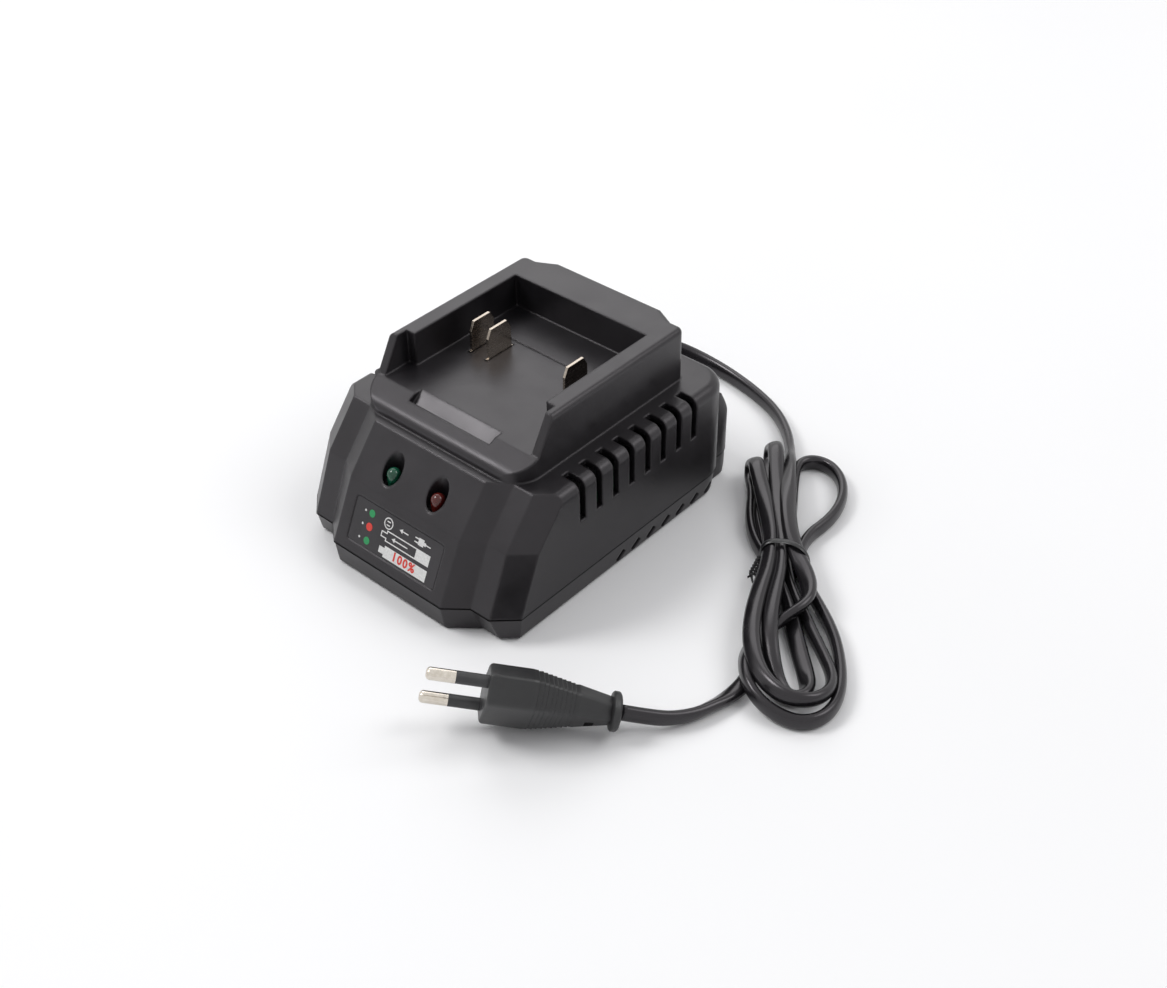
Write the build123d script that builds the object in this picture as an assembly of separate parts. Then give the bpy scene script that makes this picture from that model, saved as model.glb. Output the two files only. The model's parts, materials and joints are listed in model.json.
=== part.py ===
from build123d import *
import math
import os

# Desktop charger for slide-on power tool batteries, in millimetres.
# +Z is up and the lamp panel faces -Y. The origin is on the table, under the middle of the housing.

# ---- Housing: overall sizes ----
BASE_WIDTH = 100.0
TOTAL_DEPTH = 134.0          # foot of the front panel to the back of the cord bulge
FOOT_DROP = 0.5              # how far the rubber feet hold the shell off the table
SEAM_Z = 10.0                # where the two shells meet
CREASE_Z = 32.4              # where the front facets change slope
DECK_Z = 48.5                # flat top round the dock
WALL = 2.4                   # thickness of the shells
FRONT_WALL = 3.0             # the sloping front, measured level
SEAM_STEP = 0.3              # the lower shell stands this far inside the upper one
LIP_HEIGHT = 2.0             # tongue of the lower shell, up inside the upper one
LIP_THICKNESS = 1.1
LIP_INSET = 1.3              # outer face of the tongue, from the upper shell's outer face
LIP_FRONT_INSET = 2.3        # more at the front, where the upper shell leans back
LIP_CLEARANCE = 0.1
BACK_WALL_SETBACK = 9.5      # from the back of the bulge to the main back wall
REAR_CORNER_RADIUS = 12.0
SHOULDER_RADIUS = 3.5
BOTTOM_CHAMFER = 0.6
BASE_DRAW = 1.2              # how far the lower shell draws in, at its foot
BASE_STRIP_DRAW = 2.8        # more at the strips beside the middle panel
BASE_CORNER_SPREAD = 1.6     # and those strips end this much further out there

FRONT = -TOTAL_DEPTH / 2
BACK = TOTAL_DEPTH / 2
BACK_WALL = BACK - BACK_WALL_SETBACK
SIDE = BASE_WIDTH / 2
SHELL_Z = FOOT_DROP          # underside of the lower shell
SHELL_FLOOR_Z = SHELL_Z + WALL

# ---- Front facets: widths, and depths behind FRONT at each level ----
PANEL_HALF = 26.0            # middle panel
SLANT_WIDTH = 7.8            # slanting facet beside it
CORNER_WIDTH = 7.8           # corner facet, in from the side
CORNER_SLOPE = 0.92          # depth gained per width along the corner facet
CREASE_DEPTH = 11.0          # middle panel at the crease
DECK_DEPTH = 24.5            # middle panel at the deck
STRIP_SETBACKS = (6.3, 4.8, 5.0)     # outer strip behind the middle panel, at seam, crease and deck
FACET_LEVELS = (
    (SEAM_Z, 0.0, STRIP_SETBACKS[0]),
    (CREASE_Z, CREASE_DEPTH, CREASE_DEPTH + STRIP_SETBACKS[1]),
    (DECK_Z, DECK_DEPTH, DECK_DEPTH + STRIP_SETBACKS[2]),
)

# ---- Cord bulge at the back ----
BULGE_SIDE_STEP = 5.0        # in from the side of the housing
BULGE_CORNER_RADIUS = 8.0
BULGE_SHOULDER_RISE = 10.0   # upright this far above the seam
BULGE_SLOPE_RISE = 18.0      # then slopes into the back wall
BULGE_UNDERCUT = 6.0         # how far it draws in under the seam
BULGE_HALF = SIDE - BULGE_SIDE_STEP
BULGE_SHOULDER_Z = SEAM_Z + BULGE_SHOULDER_RISE
BULGE_TOP_Z = BULGE_SHOULDER_Z + BULGE_SLOPE_RISE

# ---- Dock ----
DOCK_HALF = 37.5
DOCK_ARM = 7.0               # thickness of each arm
DOCK_RISE = 7.5              # floor above the deck
ARM_RISE = 13.0              # arms above the floor
NOSE_DEPTH = 27.6            # front of the nose, behind FRONT
LIP_EDGE_BACK = 2.7          # edge of the lip, behind the nose
LIP_EDGE_DROP = 2.8          # and below the floor
LIP_DEPTH = 6.6              # edge of the lip to the start of the floor
ARM_FOOT_BACK = 0.6          # arm ends start this far behind the lip
ARM_END_RUN = 7.4            # and slope back this far
NOTCH_RUN = 4.4              # lead-in notches end this far behind the arm tips
NOTCH_DEPTH = 3.8
DOCK_BACK_WALL = 12.1
DOCK_BACK_SETBACK = 12.7     # dock's back, in front of the housing's back wall
BUMP_DEPTH = 3.9
BUMP_FROM_SIDE = 6.0         # from the dock's side to the foot of the bump
BUMP_RUN = 7.6               # and on to its top
NOSE_CORNER_RADIUS = 10.0
DOCK_CORNER_RADIUS = 2.6
DOCK_EDGE_RADIUS = 1.8
POCKET_HALF = 18.8           # latch pocket in the lip
POCKET_FRONT_BACK = 3.7      # its front wall, behind the edge of the lip
POCKET_RUN = 6.3
POCKET_DEPTH = 4.2           # below the floor, at its front
GROOVE_BEHIND_BLADES = 2.6
GROOVE_WIDTH = 0.5
GROOVE_DEPTH = 0.4

CHANNEL_HALF = DOCK_HALF - DOCK_ARM
BUMP_HALF_OUTER = DOCK_HALF - BUMP_FROM_SIDE
BUMP_HALF_INNER = BUMP_HALF_OUTER - BUMP_RUN
FLOOR_Z = DECK_Z + DOCK_RISE
TOP_Z = FLOOR_Z + ARM_RISE
FLOOR_UNDERSIDE = FLOOR_Z - WALL
NOSE_Y = FRONT + NOSE_DEPTH
LIP_EDGE_Y = NOSE_Y + LIP_EDGE_BACK
LIP_EDGE_Z = FLOOR_Z - LIP_EDGE_DROP
LIP_START_Y = LIP_EDGE_Y + LIP_DEPTH
ARM_FOOT_Y = LIP_START_Y + ARM_FOOT_BACK
ARM_TIP_Y = ARM_FOOT_Y + ARM_END_RUN
NOTCH_Y = ARM_TIP_Y + NOTCH_RUN
DOCK_BACK_Y = BACK_WALL - DOCK_BACK_SETBACK
CHANNEL_BACK_Y = DOCK_BACK_Y - DOCK_BACK_WALL
POCKET_FRONT_Y = LIP_EDGE_Y + POCKET_FRONT_BACK
POCKET_BACK_Y = POCKET_FRONT_Y + POCKET_RUN

# ---- Contact blades ----
BLADE_THICKNESS = 1.0
BLADE_FROM_CHANNEL_BACK = 19.9
BLADE_LENGTH = 12.8
BLADE_RISE = 11.4            # above the dock floor
BLADE_TIP_LEAD = 2.6         # how far the tip is set back at its front
BLADE_HEEL_LEAD = 2.4
BLADE_TAIL_WIDTH = 4.0
BLADE_X = {"negative": -22.4, "signal": -14.3, "positive": 21.2}
BLADE_SLOT_CLEARANCE = 0.1
SLOT_END_GAP = 0.4
BLADE_BACK_Y = CHANNEL_BACK_Y - BLADE_FROM_CHANNEL_BACK
BLADE_FRONT_Y = BLADE_BACK_Y - BLADE_LENGTH
BLADE_MIDDLE_Y = BLADE_BACK_Y - BLADE_LENGTH / 2
GROOVE_Y = BLADE_BACK_Y + GROOVE_BEHIND_BLADES

# ---- Vents ----
VENT_COUNT = 8
VENT_PITCH = 8.3
VENT_WIDTH = 3.1
VENT_LAST_FROM_BACK_WALL = 22.0
VENT_DECK_RUN = 7.6          # how far each slot reaches in over the deck
VENT_DROP = 15.5             # and down the side
LOW_VENT_COUNT = 7
LOW_VENT_PITCH = 8.2
LOW_VENT_WIDTH = 2.2
LOW_VENT_LENGTH = 4.8
LOW_VENT_LAST_FROM_BACK_WALL = 10.6
LOW_VENT_BELOW_SEAM = 6.6
LOW_VENT_LEAN = 48.0         # degrees off upright

# ---- Lamps and label ----
LAMP_X = 10.5
LAMP_DEPTH = 17.2            # behind FRONT
LAMP_RADIUS = 2.5
LAMP_FLANGE_RADIUS = 2.9
LAMP_FLANGE = 1.0
LAMP_HEIGHT = 8.6
LAMP_HOLE_CLEARANCE = 0.1
WELL_RADIUS = 4.0            # each lamp sits in a cup in the panel
WELL_WALL = 1.2
WELL_FLOOR = 1.2             # held by the lamp's flange from below
WELL_OVER_FLANGE = 0.1
LAMP_Y = FRONT + LAMP_DEPTH
UPPER_SLOPE = (DECK_Z - CREASE_Z) / (DECK_DEPTH - CREASE_DEPTH)
LAMP_TOP_Z = CREASE_Z + (LAMP_DEPTH - CREASE_DEPTH) * UPPER_SLOPE    # level with the panel
LAMP_BASE_Z = LAMP_TOP_Z - LAMP_HEIGHT
WELL_UNDERSIDE = LAMP_BASE_Z + LAMP_FLANGE + WELL_OVER_FLANGE
LABEL_WIDTH = 42.0
LABEL_HEIGHT = 16.5
LABEL_ABOVE_SEAM = 12.4      # centre of the label, measured up the slope
LABEL_RECESS = 0.4
LABEL_THICKNESS = 0.2
LABEL_MARGIN = 0.3
LABEL_CORNER_RADIUS = 1.2
RATING_WIDTH = 46.0
RATING_DEPTH = 30.0
RATING_THICKNESS = 0.15

# ---- Feet and housing screws ----
FOOT_RADIUS = 4.5
FOOT_SINK = 0.8
FOOT_FROM_SIDE = 17.0
FOOT_FROM_FRONT = 22.0
FOOT_FROM_BACK_WALL = 8.5
SCREW_FROM_SIDE = 8.8
SCREW_FROM_FRONT = 29.0
SCREW_FROM_BACK_WALL = 17.5
POST_RADIUS = 3.4
POST_ABOVE_SEAM = 4.0        # upper posts stand on the lower bosses here
BOSS_RADIUS = 4.2
SCREW_RADIUS = 1.5
SCREW_CLEARANCE = 0.2
SCREW_HEAD_RADIUS = 2.8
SCREW_HEAD_HEIGHT = 2.0
SCREW_SEAT_DEPTH = 6.5       # above the underside
SCREW_LENGTH = 14.0
PILOT_SPARE = 1.0            # pilot holes run on past the screw
FOOT_X = SIDE - FOOT_FROM_SIDE
SCREW_X = SIDE - SCREW_FROM_SIDE
SCREW_SEAT_Z = SHELL_Z + SCREW_SEAT_DEPTH
POST_MEET_Z = SEAM_Z + POST_ABOVE_SEAM

# ---- Main board ----
BOARD_FROM_SIDE = 15.0
BOARD_FROM_FRONT = 11.5
BOARD_FROM_BACK_WALL = 19.5
BOARD_RISE = 5.1             # underside above the shell's floor
BOARD_THICKNESS = 1.6
BOARD_SCREW_IN = 4.0         # from the board's side and back edges
BOARD_SCREW_FROM_FRONT = 14.5
BOARD_BOSS_RADIUS = 3.0
SMALL_SCREW_RADIUS = 1.2
SMALL_SCREW_HEAD_RADIUS = 2.4
SMALL_SCREW_HEAD_HEIGHT = 1.4
BOARD_SCREW_LENGTH = 6.0
BOARD_HALF = SIDE - BOARD_FROM_SIDE
BOARD_FRONT_Y = FRONT + BOARD_FROM_FRONT
BOARD_BACK_Y = BACK_WALL - BOARD_FROM_BACK_WALL
BOARD_MIDDLE_Y = (BOARD_FRONT_Y + BOARD_BACK_Y) / 2
BOARD_Z = SHELL_FLOOR_Z + BOARD_RISE
BOARD_TOP = BOARD_Z + BOARD_THICKNESS
BOARD_SCREW_X = BOARD_HALF - BOARD_SCREW_IN

# ---- Components on the board: place from the named edge, and size ----
FUSE_RADIUS = 2.6
FUSE_LENGTH = 15.0
FUSE_FROM_EDGE = 4.0
FUSE_FROM_BACK = 15.0
RECTIFIER = {"from_back": 8.0, "size": (15.0, 4.0, 12.0)}
RECTIFIER_TO_SCREW = 0.1
X_CAPACITOR = {"from_back": 13.0, "size": (18.0, 8.0, 14.0)}
X_CAPACITOR_TO_RECTIFIER = 4.5
BULK_CAPACITOR = {"from_back": 20.5, "radius": 8.0, "height": 26.0}
BULK_TO_X_CAPACITOR = 1.0
CHOKE = {"from_back": 21.0, "radius": 7.0, "bore": 3.4, "width": 6.0}
CHOKE_TO_FUSE = 0.4
CHOKE_WIRE = 1.0
CHOKE_GAP = 3.2              # bare core between the two banks of wire
TRANSFORMER_X = 2.0
CORE_SIZE = (28.0, 8.0, 26.0)
CORE_LIMB = 7.0
BOBBIN_WALL = 0.8
BOBBIN_FLANGE = 1.2
BOBBIN_DEPTH = 22.0
WINDING_THICKNESS = 4.6
HEATSINK_FROM_EDGE = 3.0
HEATSINK_THICKNESS = 1.8
HEATSINK_LENGTH = 24.0
HEATSINK_HEIGHT = 24.0
PACKAGE_BODY = (4.5, 10.0, 15.0)
PACKAGE_LIFT = 6.0
PACKAGE_LEG = 0.8
PACKAGE_LEG_PITCH = 2.5
Y_CAPACITOR = {"x": -7.0, "to_bobbin": 1.05, "size": (7.0, 3.4, 8.0)}
OPTO_COUPLER = {"x": 3.0, "to_bobbin": 1.45, "size": (6.4, 4.6, 3.4)}
OUTPUT_CAPACITORS = {"x": (14.0, 26.0), "from_front": 28.5, "radius": 5.0, "height": 20.0}
CONTROLLER = {"x": -18.0, "from_front": 22.5, "size": (5.0, 4.0, 1.6)}
CAN_EDGE_RADIUS = 0.6
RECTIFIER_X = BOARD_SCREW_X - SMALL_SCREW_HEAD_RADIUS - RECTIFIER_TO_SCREW - RECTIFIER["size"][0] / 2
X_CAPACITOR_X = RECTIFIER_X - (RECTIFIER["size"][0] + X_CAPACITOR["size"][0]) / 2 - X_CAPACITOR_TO_RECTIFIER
BULK_CAPACITOR_X = X_CAPACITOR_X + X_CAPACITOR["size"][0] / 2 + BULK_TO_X_CAPACITOR + BULK_CAPACITOR["radius"]
FUSE_X = -BOARD_HALF + FUSE_FROM_EDGE
CHOKE_X = FUSE_X + FUSE_RADIUS + CHOKE_TO_FUSE + CHOKE["radius"] + CHOKE_WIRE
OUTPUT_CAPACITORS_Y = BOARD_FRONT_Y + OUTPUT_CAPACITORS["from_front"]
BOBBIN_FRONT_Y = BOARD_MIDDLE_Y - BOBBIN_DEPTH / 2
PACKAGE_INNER_X = BOARD_HALF - HEATSINK_FROM_EDGE - HEATSINK_THICKNESS / 2 - PACKAGE_BODY[0]

# ---- Terminal block ----
BLOCK_FROM_CHANNEL_SIDE = 2.5
BLOCK_HEIGHT = 8.0
BLOCK_END_MARGIN = 3.0
BLOCK_FOOT = 2.0             # solid part under the blades
BLOCK_SCREW_X = (-4.0, 12.0)
BLOCK_SCREW_SKIN = 0.8       # left over the screws, under the dock's floor
BLADE_TAIL_DROP = 4.0        # below the block
OUTPUT_WIRE_RADIUS = 0.9
PAD_BEHIND_CAPACITORS = 2.4  # where the wires meet the board
NEGATIVE_PAD_TO_PACKAGE = 4.2
POSITIVE_PAD_TO_PACKAGE = 5.4
OUTPUT_WIRE_DROP = 6.0
OUTPUT_WIRE_RISE = 8.0
BLOCK_HALF = CHANNEL_HALF - BLOCK_FROM_CHANNEL_SIDE
BLOCK_Z = FLOOR_UNDERSIDE - BLOCK_HEIGHT

# ---- Mains lead ----
CORD_RADIUS = 2.3            # flat twin flex, as one round tube
EXIT_X = -24.0
EXIT_Z = SEAM_Z
BOOT_LENGTH = 20.0
BOOT_BASE_RADIUS = 4.6
BOOT_TIP_RADIUS = 3.1
BOOT_FLANGE_RADIUS = 6.2
BOOT_FLANGE = 2.0
COLLAR_HALF = 9.0            # thick part of both shells, round the boot's neck
COLLAR_RISE = 8.0            # above the seam
COLLAR_DEPTH = 8.0
CLAMP_WIDTH = 22.0
CLAMP_DEPTH = 6.0
CLAMP_GAP = 3.0              # boot to clamp
CLAMP_THICKNESS = 2.6
CLAMP_SCREW_SPAN = 16.0
CLAMP_SCREW_FLOOR = 1.5      # left under the clamp's screws
SHEATH_PAST_CLAMP = 3.0
MAINS_WIRE_RADIUS = 1.0
MAINS_WIRE_TO_SCREW = 0.6    # live pad to the head of the board's screw
MAINS_PAD_PITCH = 6.0
MAINS_WIRE_PAD_IN = 4.0      # from the board's back edge
COLLAR_FACE_Y = BACK - COLLAR_DEPTH
BOOT_INNER_Y = COLLAR_FACE_Y - BOOT_FLANGE
LIVE_PAD_X = -(BOARD_SCREW_X - SMALL_SCREW_HEAD_RADIUS - MAINS_WIRE_TO_SCREW - MAINS_WIRE_RADIUS)
CLAMP_Y = BOOT_INNER_Y - CLAMP_GAP - CLAMP_DEPTH / 2
SHEATH_END_Y = CLAMP_Y - CLAMP_DEPTH / 2 - SHEATH_PAST_CLAMP
CLAMP_TOP_Z = EXIT_Z + CORD_RADIUS + CLAMP_THICKNESS

LEAD_POINTS = (
    (-24, 96, 10), (-19.5, 104, 7.8), (-11, 108.6, 5.4), (0, 109.9, 3.6), (12, 109.3, 2.7),
    (26, 106.2, 2.6), (40, 101, 2.6), (52, 92, 2.6), (61, 81, 2.6),
)
TAIL_POINTS = (
    (119.5, -18, 4.2), (118.3, -28, 3.2), (116, -38, 2.7), (112.2, -47.5, 3.4),
)
TAIL_LAST_RUN = 9.0          # straight into the plug
HANK_HEIGHT = 12.5
HANK_OUTLINE = (
    (58, 85), (49, 77), (56, 60), (65, 43), (77, 30), (88, 21), (96, 6), (104, -12),
    (117, -27), (133, -33), (147, -28), (151, -15), (146, -1), (135, 11), (123, 20), (112, 27),
    (105, 37), (93, 51), (80, 63), (70, 78),
)
SIDE_LOOP_HEIGHT = 5.6
SIDE_LOOP_OUTLINE = (
    (60, 79), (66, 90), (79, 91.5), (91, 83), (96.5, 69), (98, 54), (101, 38), (88, 44), (74, 60),
)
TIE_CENTRE = (94.4, 29.7)
TIE_ANGLE = 38.0             # direction of the tie across the hank, from +X
TIE_WIDTH = 3.0
TIE_THICKNESS = 0.9
TIE_TAIL_LENGTH = 9.0

# ---- Plug ----
PLUG_FACE = (68.6, -89.5, 17.3)
PLUG_AXIS = (-0.724, -0.653, 0.2226)      # from the cord to the pins
PLUG_WIDE = (0.399, -0.1334, 0.907)       # from one pin to the other
PLUG_LENGTH = 42.0
PLUG_HALF_WIDTH = 15.0
PLUG_FLAT_HALF = 8.5
PLUG_HALF_THICKNESS = 6.85
PLUG_STRAIGHT = 14.0
PLUG_NECK_SCALE = 0.31
PLUG_NECK_THICKNESS_SCALE = 0.57
PLUG_FLANGE_RADIUS = 6.3
PLUG_FLANGE = 2.6
PIN_SPACING = 18.6
PIN_LENGTH = 19.0
PIN_RADIUS = 2.0
PIN_SLEEVE_LENGTH = 10.0
PIN_CORE_RADIUS = 1.5
PIN_ROOT = 6.0
PIN_TIP_RADIUS = 1.4


# ---- Shapes used by several pieces ----

def block(x, y, z):
    """A box given by its low and high side along each axis."""
    centre = ((x[0] + x[1]) / 2, (y[0] + y[1]) / 2, (z[0] + z[1]) / 2)
    return Pos(*centre) * Box(x[1] - x[0], y[1] - y[0], z[1] - z[0])


def upright(radius, x, y, z):
    """A cylinder that stands at x, y between two heights."""
    return Pos(x, y, (z[0] + z[1]) / 2) * Cylinder(radius, z[1] - z[0])


def side_profile(points, half_width):
    """A (y, z) outline carried across the width."""
    face = make_face(Polyline(*points, close=True))
    return extrude(Plane.YZ * face, amount=half_width, both=True)


def tube(points, radius):
    """Straight runs joined by arcs as large as the runs allow, with their least radius."""
    corners = [Vector(*p) for p in points]
    radii = []
    for before, corner, after in zip(corners, corners[1:], corners[2:]):
        turn = math.radians((corner - before).get_angle(after - corner))
        shorter = min((corner - before).length, (after - corner).length)
        radii.append(0.45 * shorter / math.tan(turn / 2))
    path = FilletPolyline(*corners, radius=radii)
    start = Plane(origin=path @ 0, z_dir=path % 0)
    return sweep(start * Circle(radius), path=path), radii, path.length


def mirrored(points):
    """Points for the +X half, then the same ones on the -X half in reverse."""
    return list(points) + [(-x, y) for x, y in reversed(points)]


def four(x, front_y, back_y):
    return [(side * x, y) for side in (-1, 1) for y in (front_y, back_y)]


def screw_places():
    return four(SCREW_X, FRONT + SCREW_FROM_FRONT, BACK_WALL - SCREW_FROM_BACK_WALL)


def foot_places():
    return four(FOOT_X, FRONT + FOOT_FROM_FRONT, BACK_WALL - FOOT_FROM_BACK_WALL)


def board_screw_places():
    return four(BOARD_SCREW_X, BOARD_FRONT_Y + BOARD_SCREW_FROM_FRONT, BOARD_BACK_Y - BOARD_SCREW_IN)


# ---- Housing shape ----

def facet_section(level, inset, slant_spread=0.0, corner_spread=0.0):
    """The front's outline at one level; it runs past the sides and the back, where other faces trim it.

    Each level is a height, the depth of the middle panel and the depth of the strips beside it.
    The spreads move both ends of the strips outwards.
    """
    z, panel_y, strip_y = level
    beyond = SIDE + WALL
    outer_break = SIDE - CORNER_WIDTH + corner_spread
    points = [
        (PANEL_HALF - 0.4 * inset, FRONT + panel_y + inset),
        (PANEL_HALF + SLANT_WIDTH + slant_spread - 0.4 * inset, FRONT + strip_y + inset),
        (outer_break - 0.4 * inset, FRONT + strip_y + inset),
        (beyond, FRONT + strip_y + (beyond - outer_break) * CORNER_SLOPE + 1.4 * inset),
        (beyond, BACK + WALL),
    ]
    return Pos(0, 0, z) * make_face(Polyline(*mirrored(points), close=True))


def plan_face(half, front, back, radius):
    """A rectangle with round back corners."""
    width = 2 * half
    depth = back - front
    sheet = Pos(0, (front + back) / 2) * Rectangle(width, depth)
    corners = sheet.vertices().group_by(Axis.Y)[-1]
    return fillet(corners, radius)


def bulge(inset, low):
    """The part of the back that stands out round the cord, from low up to its slope."""
    back = BACK - inset
    profile = side_profile(
        [
            (BACK_WALL - 2 * BULGE_CORNER_RADIUS, low),
            (back, low),
            (back, BULGE_SHOULDER_Z),
            (BACK_WALL - inset, BULGE_TOP_Z - inset),
            (BACK_WALL - 2 * BULGE_CORNER_RADIUS, BULGE_TOP_Z - inset),
        ],
        BULGE_HALF - inset,
    )
    plan = plan_face(
        BULGE_HALF - inset, BACK_WALL - 2 * BULGE_CORNER_RADIUS, back, BULGE_CORNER_RADIUS - inset
    )
    return profile & extrude(plan, amount=DECK_Z)


def upper_body(inset, front_inset, top):
    """Everything of the upper shell below the deck, as one solid block."""
    sections = [facet_section(level, front_inset) for level in FACET_LEVELS]
    facets = loft(sections, ruled=True)
    plan = plan_face(SIDE - inset, FRONT - WALL, BACK_WALL - inset, REAR_CORNER_RADIUS - inset)
    prism = Pos(0, 0, SEAM_Z) * extrude(plan, amount=DECK_Z - SEAM_Z)
    body = facets & prism
    if top < DECK_Z:
        body &= block((-SIDE, SIDE), (FRONT, BACK), (SEAM_Z, top))
    return body + bulge(inset, SEAM_Z)


def dock_plan():
    corner = [
        (DOCK_HALF, NOSE_Y),
        (DOCK_HALF, DOCK_BACK_Y),
        (BUMP_HALF_OUTER, DOCK_BACK_Y),
        (BUMP_HALF_INNER, DOCK_BACK_Y + BUMP_DEPTH),
    ]
    outline = make_face(Polyline(*mirrored(corner), close=True))
    nose = outline.vertices().group_by(Axis.Y)[0]
    outline = fillet(nose, NOSE_CORNER_RADIUS)
    rear = [v for v in outline.vertices() if abs(v.X) > DOCK_HALF - 0.1 and v.Y > DOCK_BACK_Y - 0.1]
    return fillet(rear, DOCK_CORNER_RADIUS)


def dock_side_face():
    """The dock seen from the side: nose, lip, sloping arm ends and level top."""
    low = DECK_Z - WALL
    nose_curve = ThreePointArc(
        (NOSE_Y, DECK_Z),
        (NOSE_Y + 0.2 * LIP_EDGE_BACK, DECK_Z + 0.62 * (LIP_EDGE_Z - DECK_Z)),
        (LIP_EDGE_Y, LIP_EDGE_Z),
    )
    rest = Polyline(
        (LIP_EDGE_Y, LIP_EDGE_Z),
        (LIP_START_Y, FLOOR_Z),
        (ARM_FOOT_Y, FLOOR_Z),
        (ARM_TIP_Y, TOP_Z),
        (BACK, TOP_Z),
        (BACK, low),
        (NOSE_Y, low),
        (NOSE_Y, DECK_Z),
    )
    return make_face(nose_curve + rest)


def dock_block():
    low = DECK_Z - WALL
    solid = Pos(0, 0, low) * extrude(dock_plan(), amount=TOP_Z - low)
    solid &= extrude(Plane.YZ * dock_side_face(), amount=SIDE, both=True)
    rim = [
        e for e in solid.edges()
        if e.center().Z > TOP_Z - 0.01 and e.center().Y > ARM_TIP_Y + 0.1
    ]
    solid = fillet(rim, DOCK_EDGE_RADIUS)
    solid -= block((-CHANNEL_HALF, CHANNEL_HALF), (FRONT, CHANNEL_BACK_Y), (FLOOR_Z, TOP_Z + 1))
    notch = CHANNEL_HALF + NOTCH_DEPTH
    solid -= block((-notch, notch), (FRONT, NOTCH_Y), (FLOOR_Z, TOP_Z + 1))
    solid -= side_profile(
        [
            (POCKET_BACK_Y, FLOOR_Z),
            (POCKET_FRONT_Y, FLOOR_Z - POCKET_DEPTH),
            (POCKET_FRONT_Y, FLOOR_Z + 1),
            (POCKET_BACK_Y, FLOOR_Z + 1),
        ],
        POCKET_HALF,
    )
    solid -= block(
        (-CHANNEL_HALF, CHANNEL_HALF),
        (GROOVE_Y - GROOVE_WIDTH / 2, GROOVE_Y + GROOVE_WIDTH / 2),
        (FLOOR_Z - GROOVE_DEPTH, FLOOR_Z + 1),
    )
    return solid


def dock_hollow():
    """Space under the dock's floor and inside its back wall."""
    half = DOCK_HALF - WALL
    pocket_roof = FLOOR_UNDERSIDE - POCKET_DEPTH
    under_floor = side_profile(
        [
            (LIP_EDGE_Y + WALL, DECK_Z - 2 * WALL),
            (LIP_EDGE_Y + WALL, pocket_roof),
            (POCKET_BACK_Y + 1, FLOOR_UNDERSIDE),
            (DOCK_BACK_Y - WALL, FLOOR_UNDERSIDE),
            (DOCK_BACK_Y - WALL, DECK_Z - 2 * WALL),
        ],
        half,
    )
    in_back_wall = block(
        (-half, half), (CHANNEL_BACK_Y + WALL, DOCK_BACK_Y - WALL), (DECK_Z - 2 * WALL, TOP_Z - WALL)
    )
    return under_floor + in_back_wall


def front_slope_plane(up_slope):
    """On the middle panel under the crease, a distance up the slope from the seam; Z points outwards."""
    run = CREASE_DEPTH
    rise = CREASE_Z - SEAM_Z
    length = math.hypot(run, rise)
    origin = (0, FRONT + up_slope * run / length, SEAM_Z + up_slope * rise / length)
    return Plane(origin=origin, x_dir=(1, 0, 0), z_dir=(0, -rise, run))


def vent_tools():
    """Cutters for the slots that run from the deck over the shoulder."""
    tools = []
    for index in range(VENT_COUNT):
        y = BACK_WALL - VENT_LAST_FROM_BACK_WALL - index * VENT_PITCH
        span = (y - VENT_WIDTH / 2, y + VENT_WIDTH / 2)
        for side in (-1, 1):
            across = sorted((side * (SIDE - VENT_DECK_RUN), side * (SIDE + 1)))
            tools.append(block(across, span, (DECK_Z - VENT_DROP, DECK_Z + 1)))
    return tools


def low_vent_tools():
    """Cutters for the slanting slots in the side of the lower shell."""
    tools = []
    for index in range(LOW_VENT_COUNT):
        y = BACK_WALL - LOW_VENT_LAST_FROM_BACK_WALL - index * LOW_VENT_PITCH
        for side in (-1, 1):
            bar = Box(4 * WALL, LOW_VENT_WIDTH, LOW_VENT_LENGTH)
            place = Pos(side * SIDE, y, SEAM_Z - LOW_VENT_BELOW_SEAM)
            tools.append(place * Rot(X=-LOW_VENT_LEAN) * bar)
    return tools


def cord_hole(radius, y):
    """A round hole for the boot, along Y."""
    return Pos(EXIT_X, (y[0] + y[1]) / 2, EXIT_Z) * Rot(X=90) * Cylinder(radius, y[1] - y[0])


def collar(heights):
    """Thick material round the boot's neck, from inside the shell to its wall."""
    return block((EXIT_X - COLLAR_HALF, EXIT_X + COLLAR_HALF), (COLLAR_FACE_Y, BACK - WALL / 2), heights)


# ---- Housing shells ----

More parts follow.
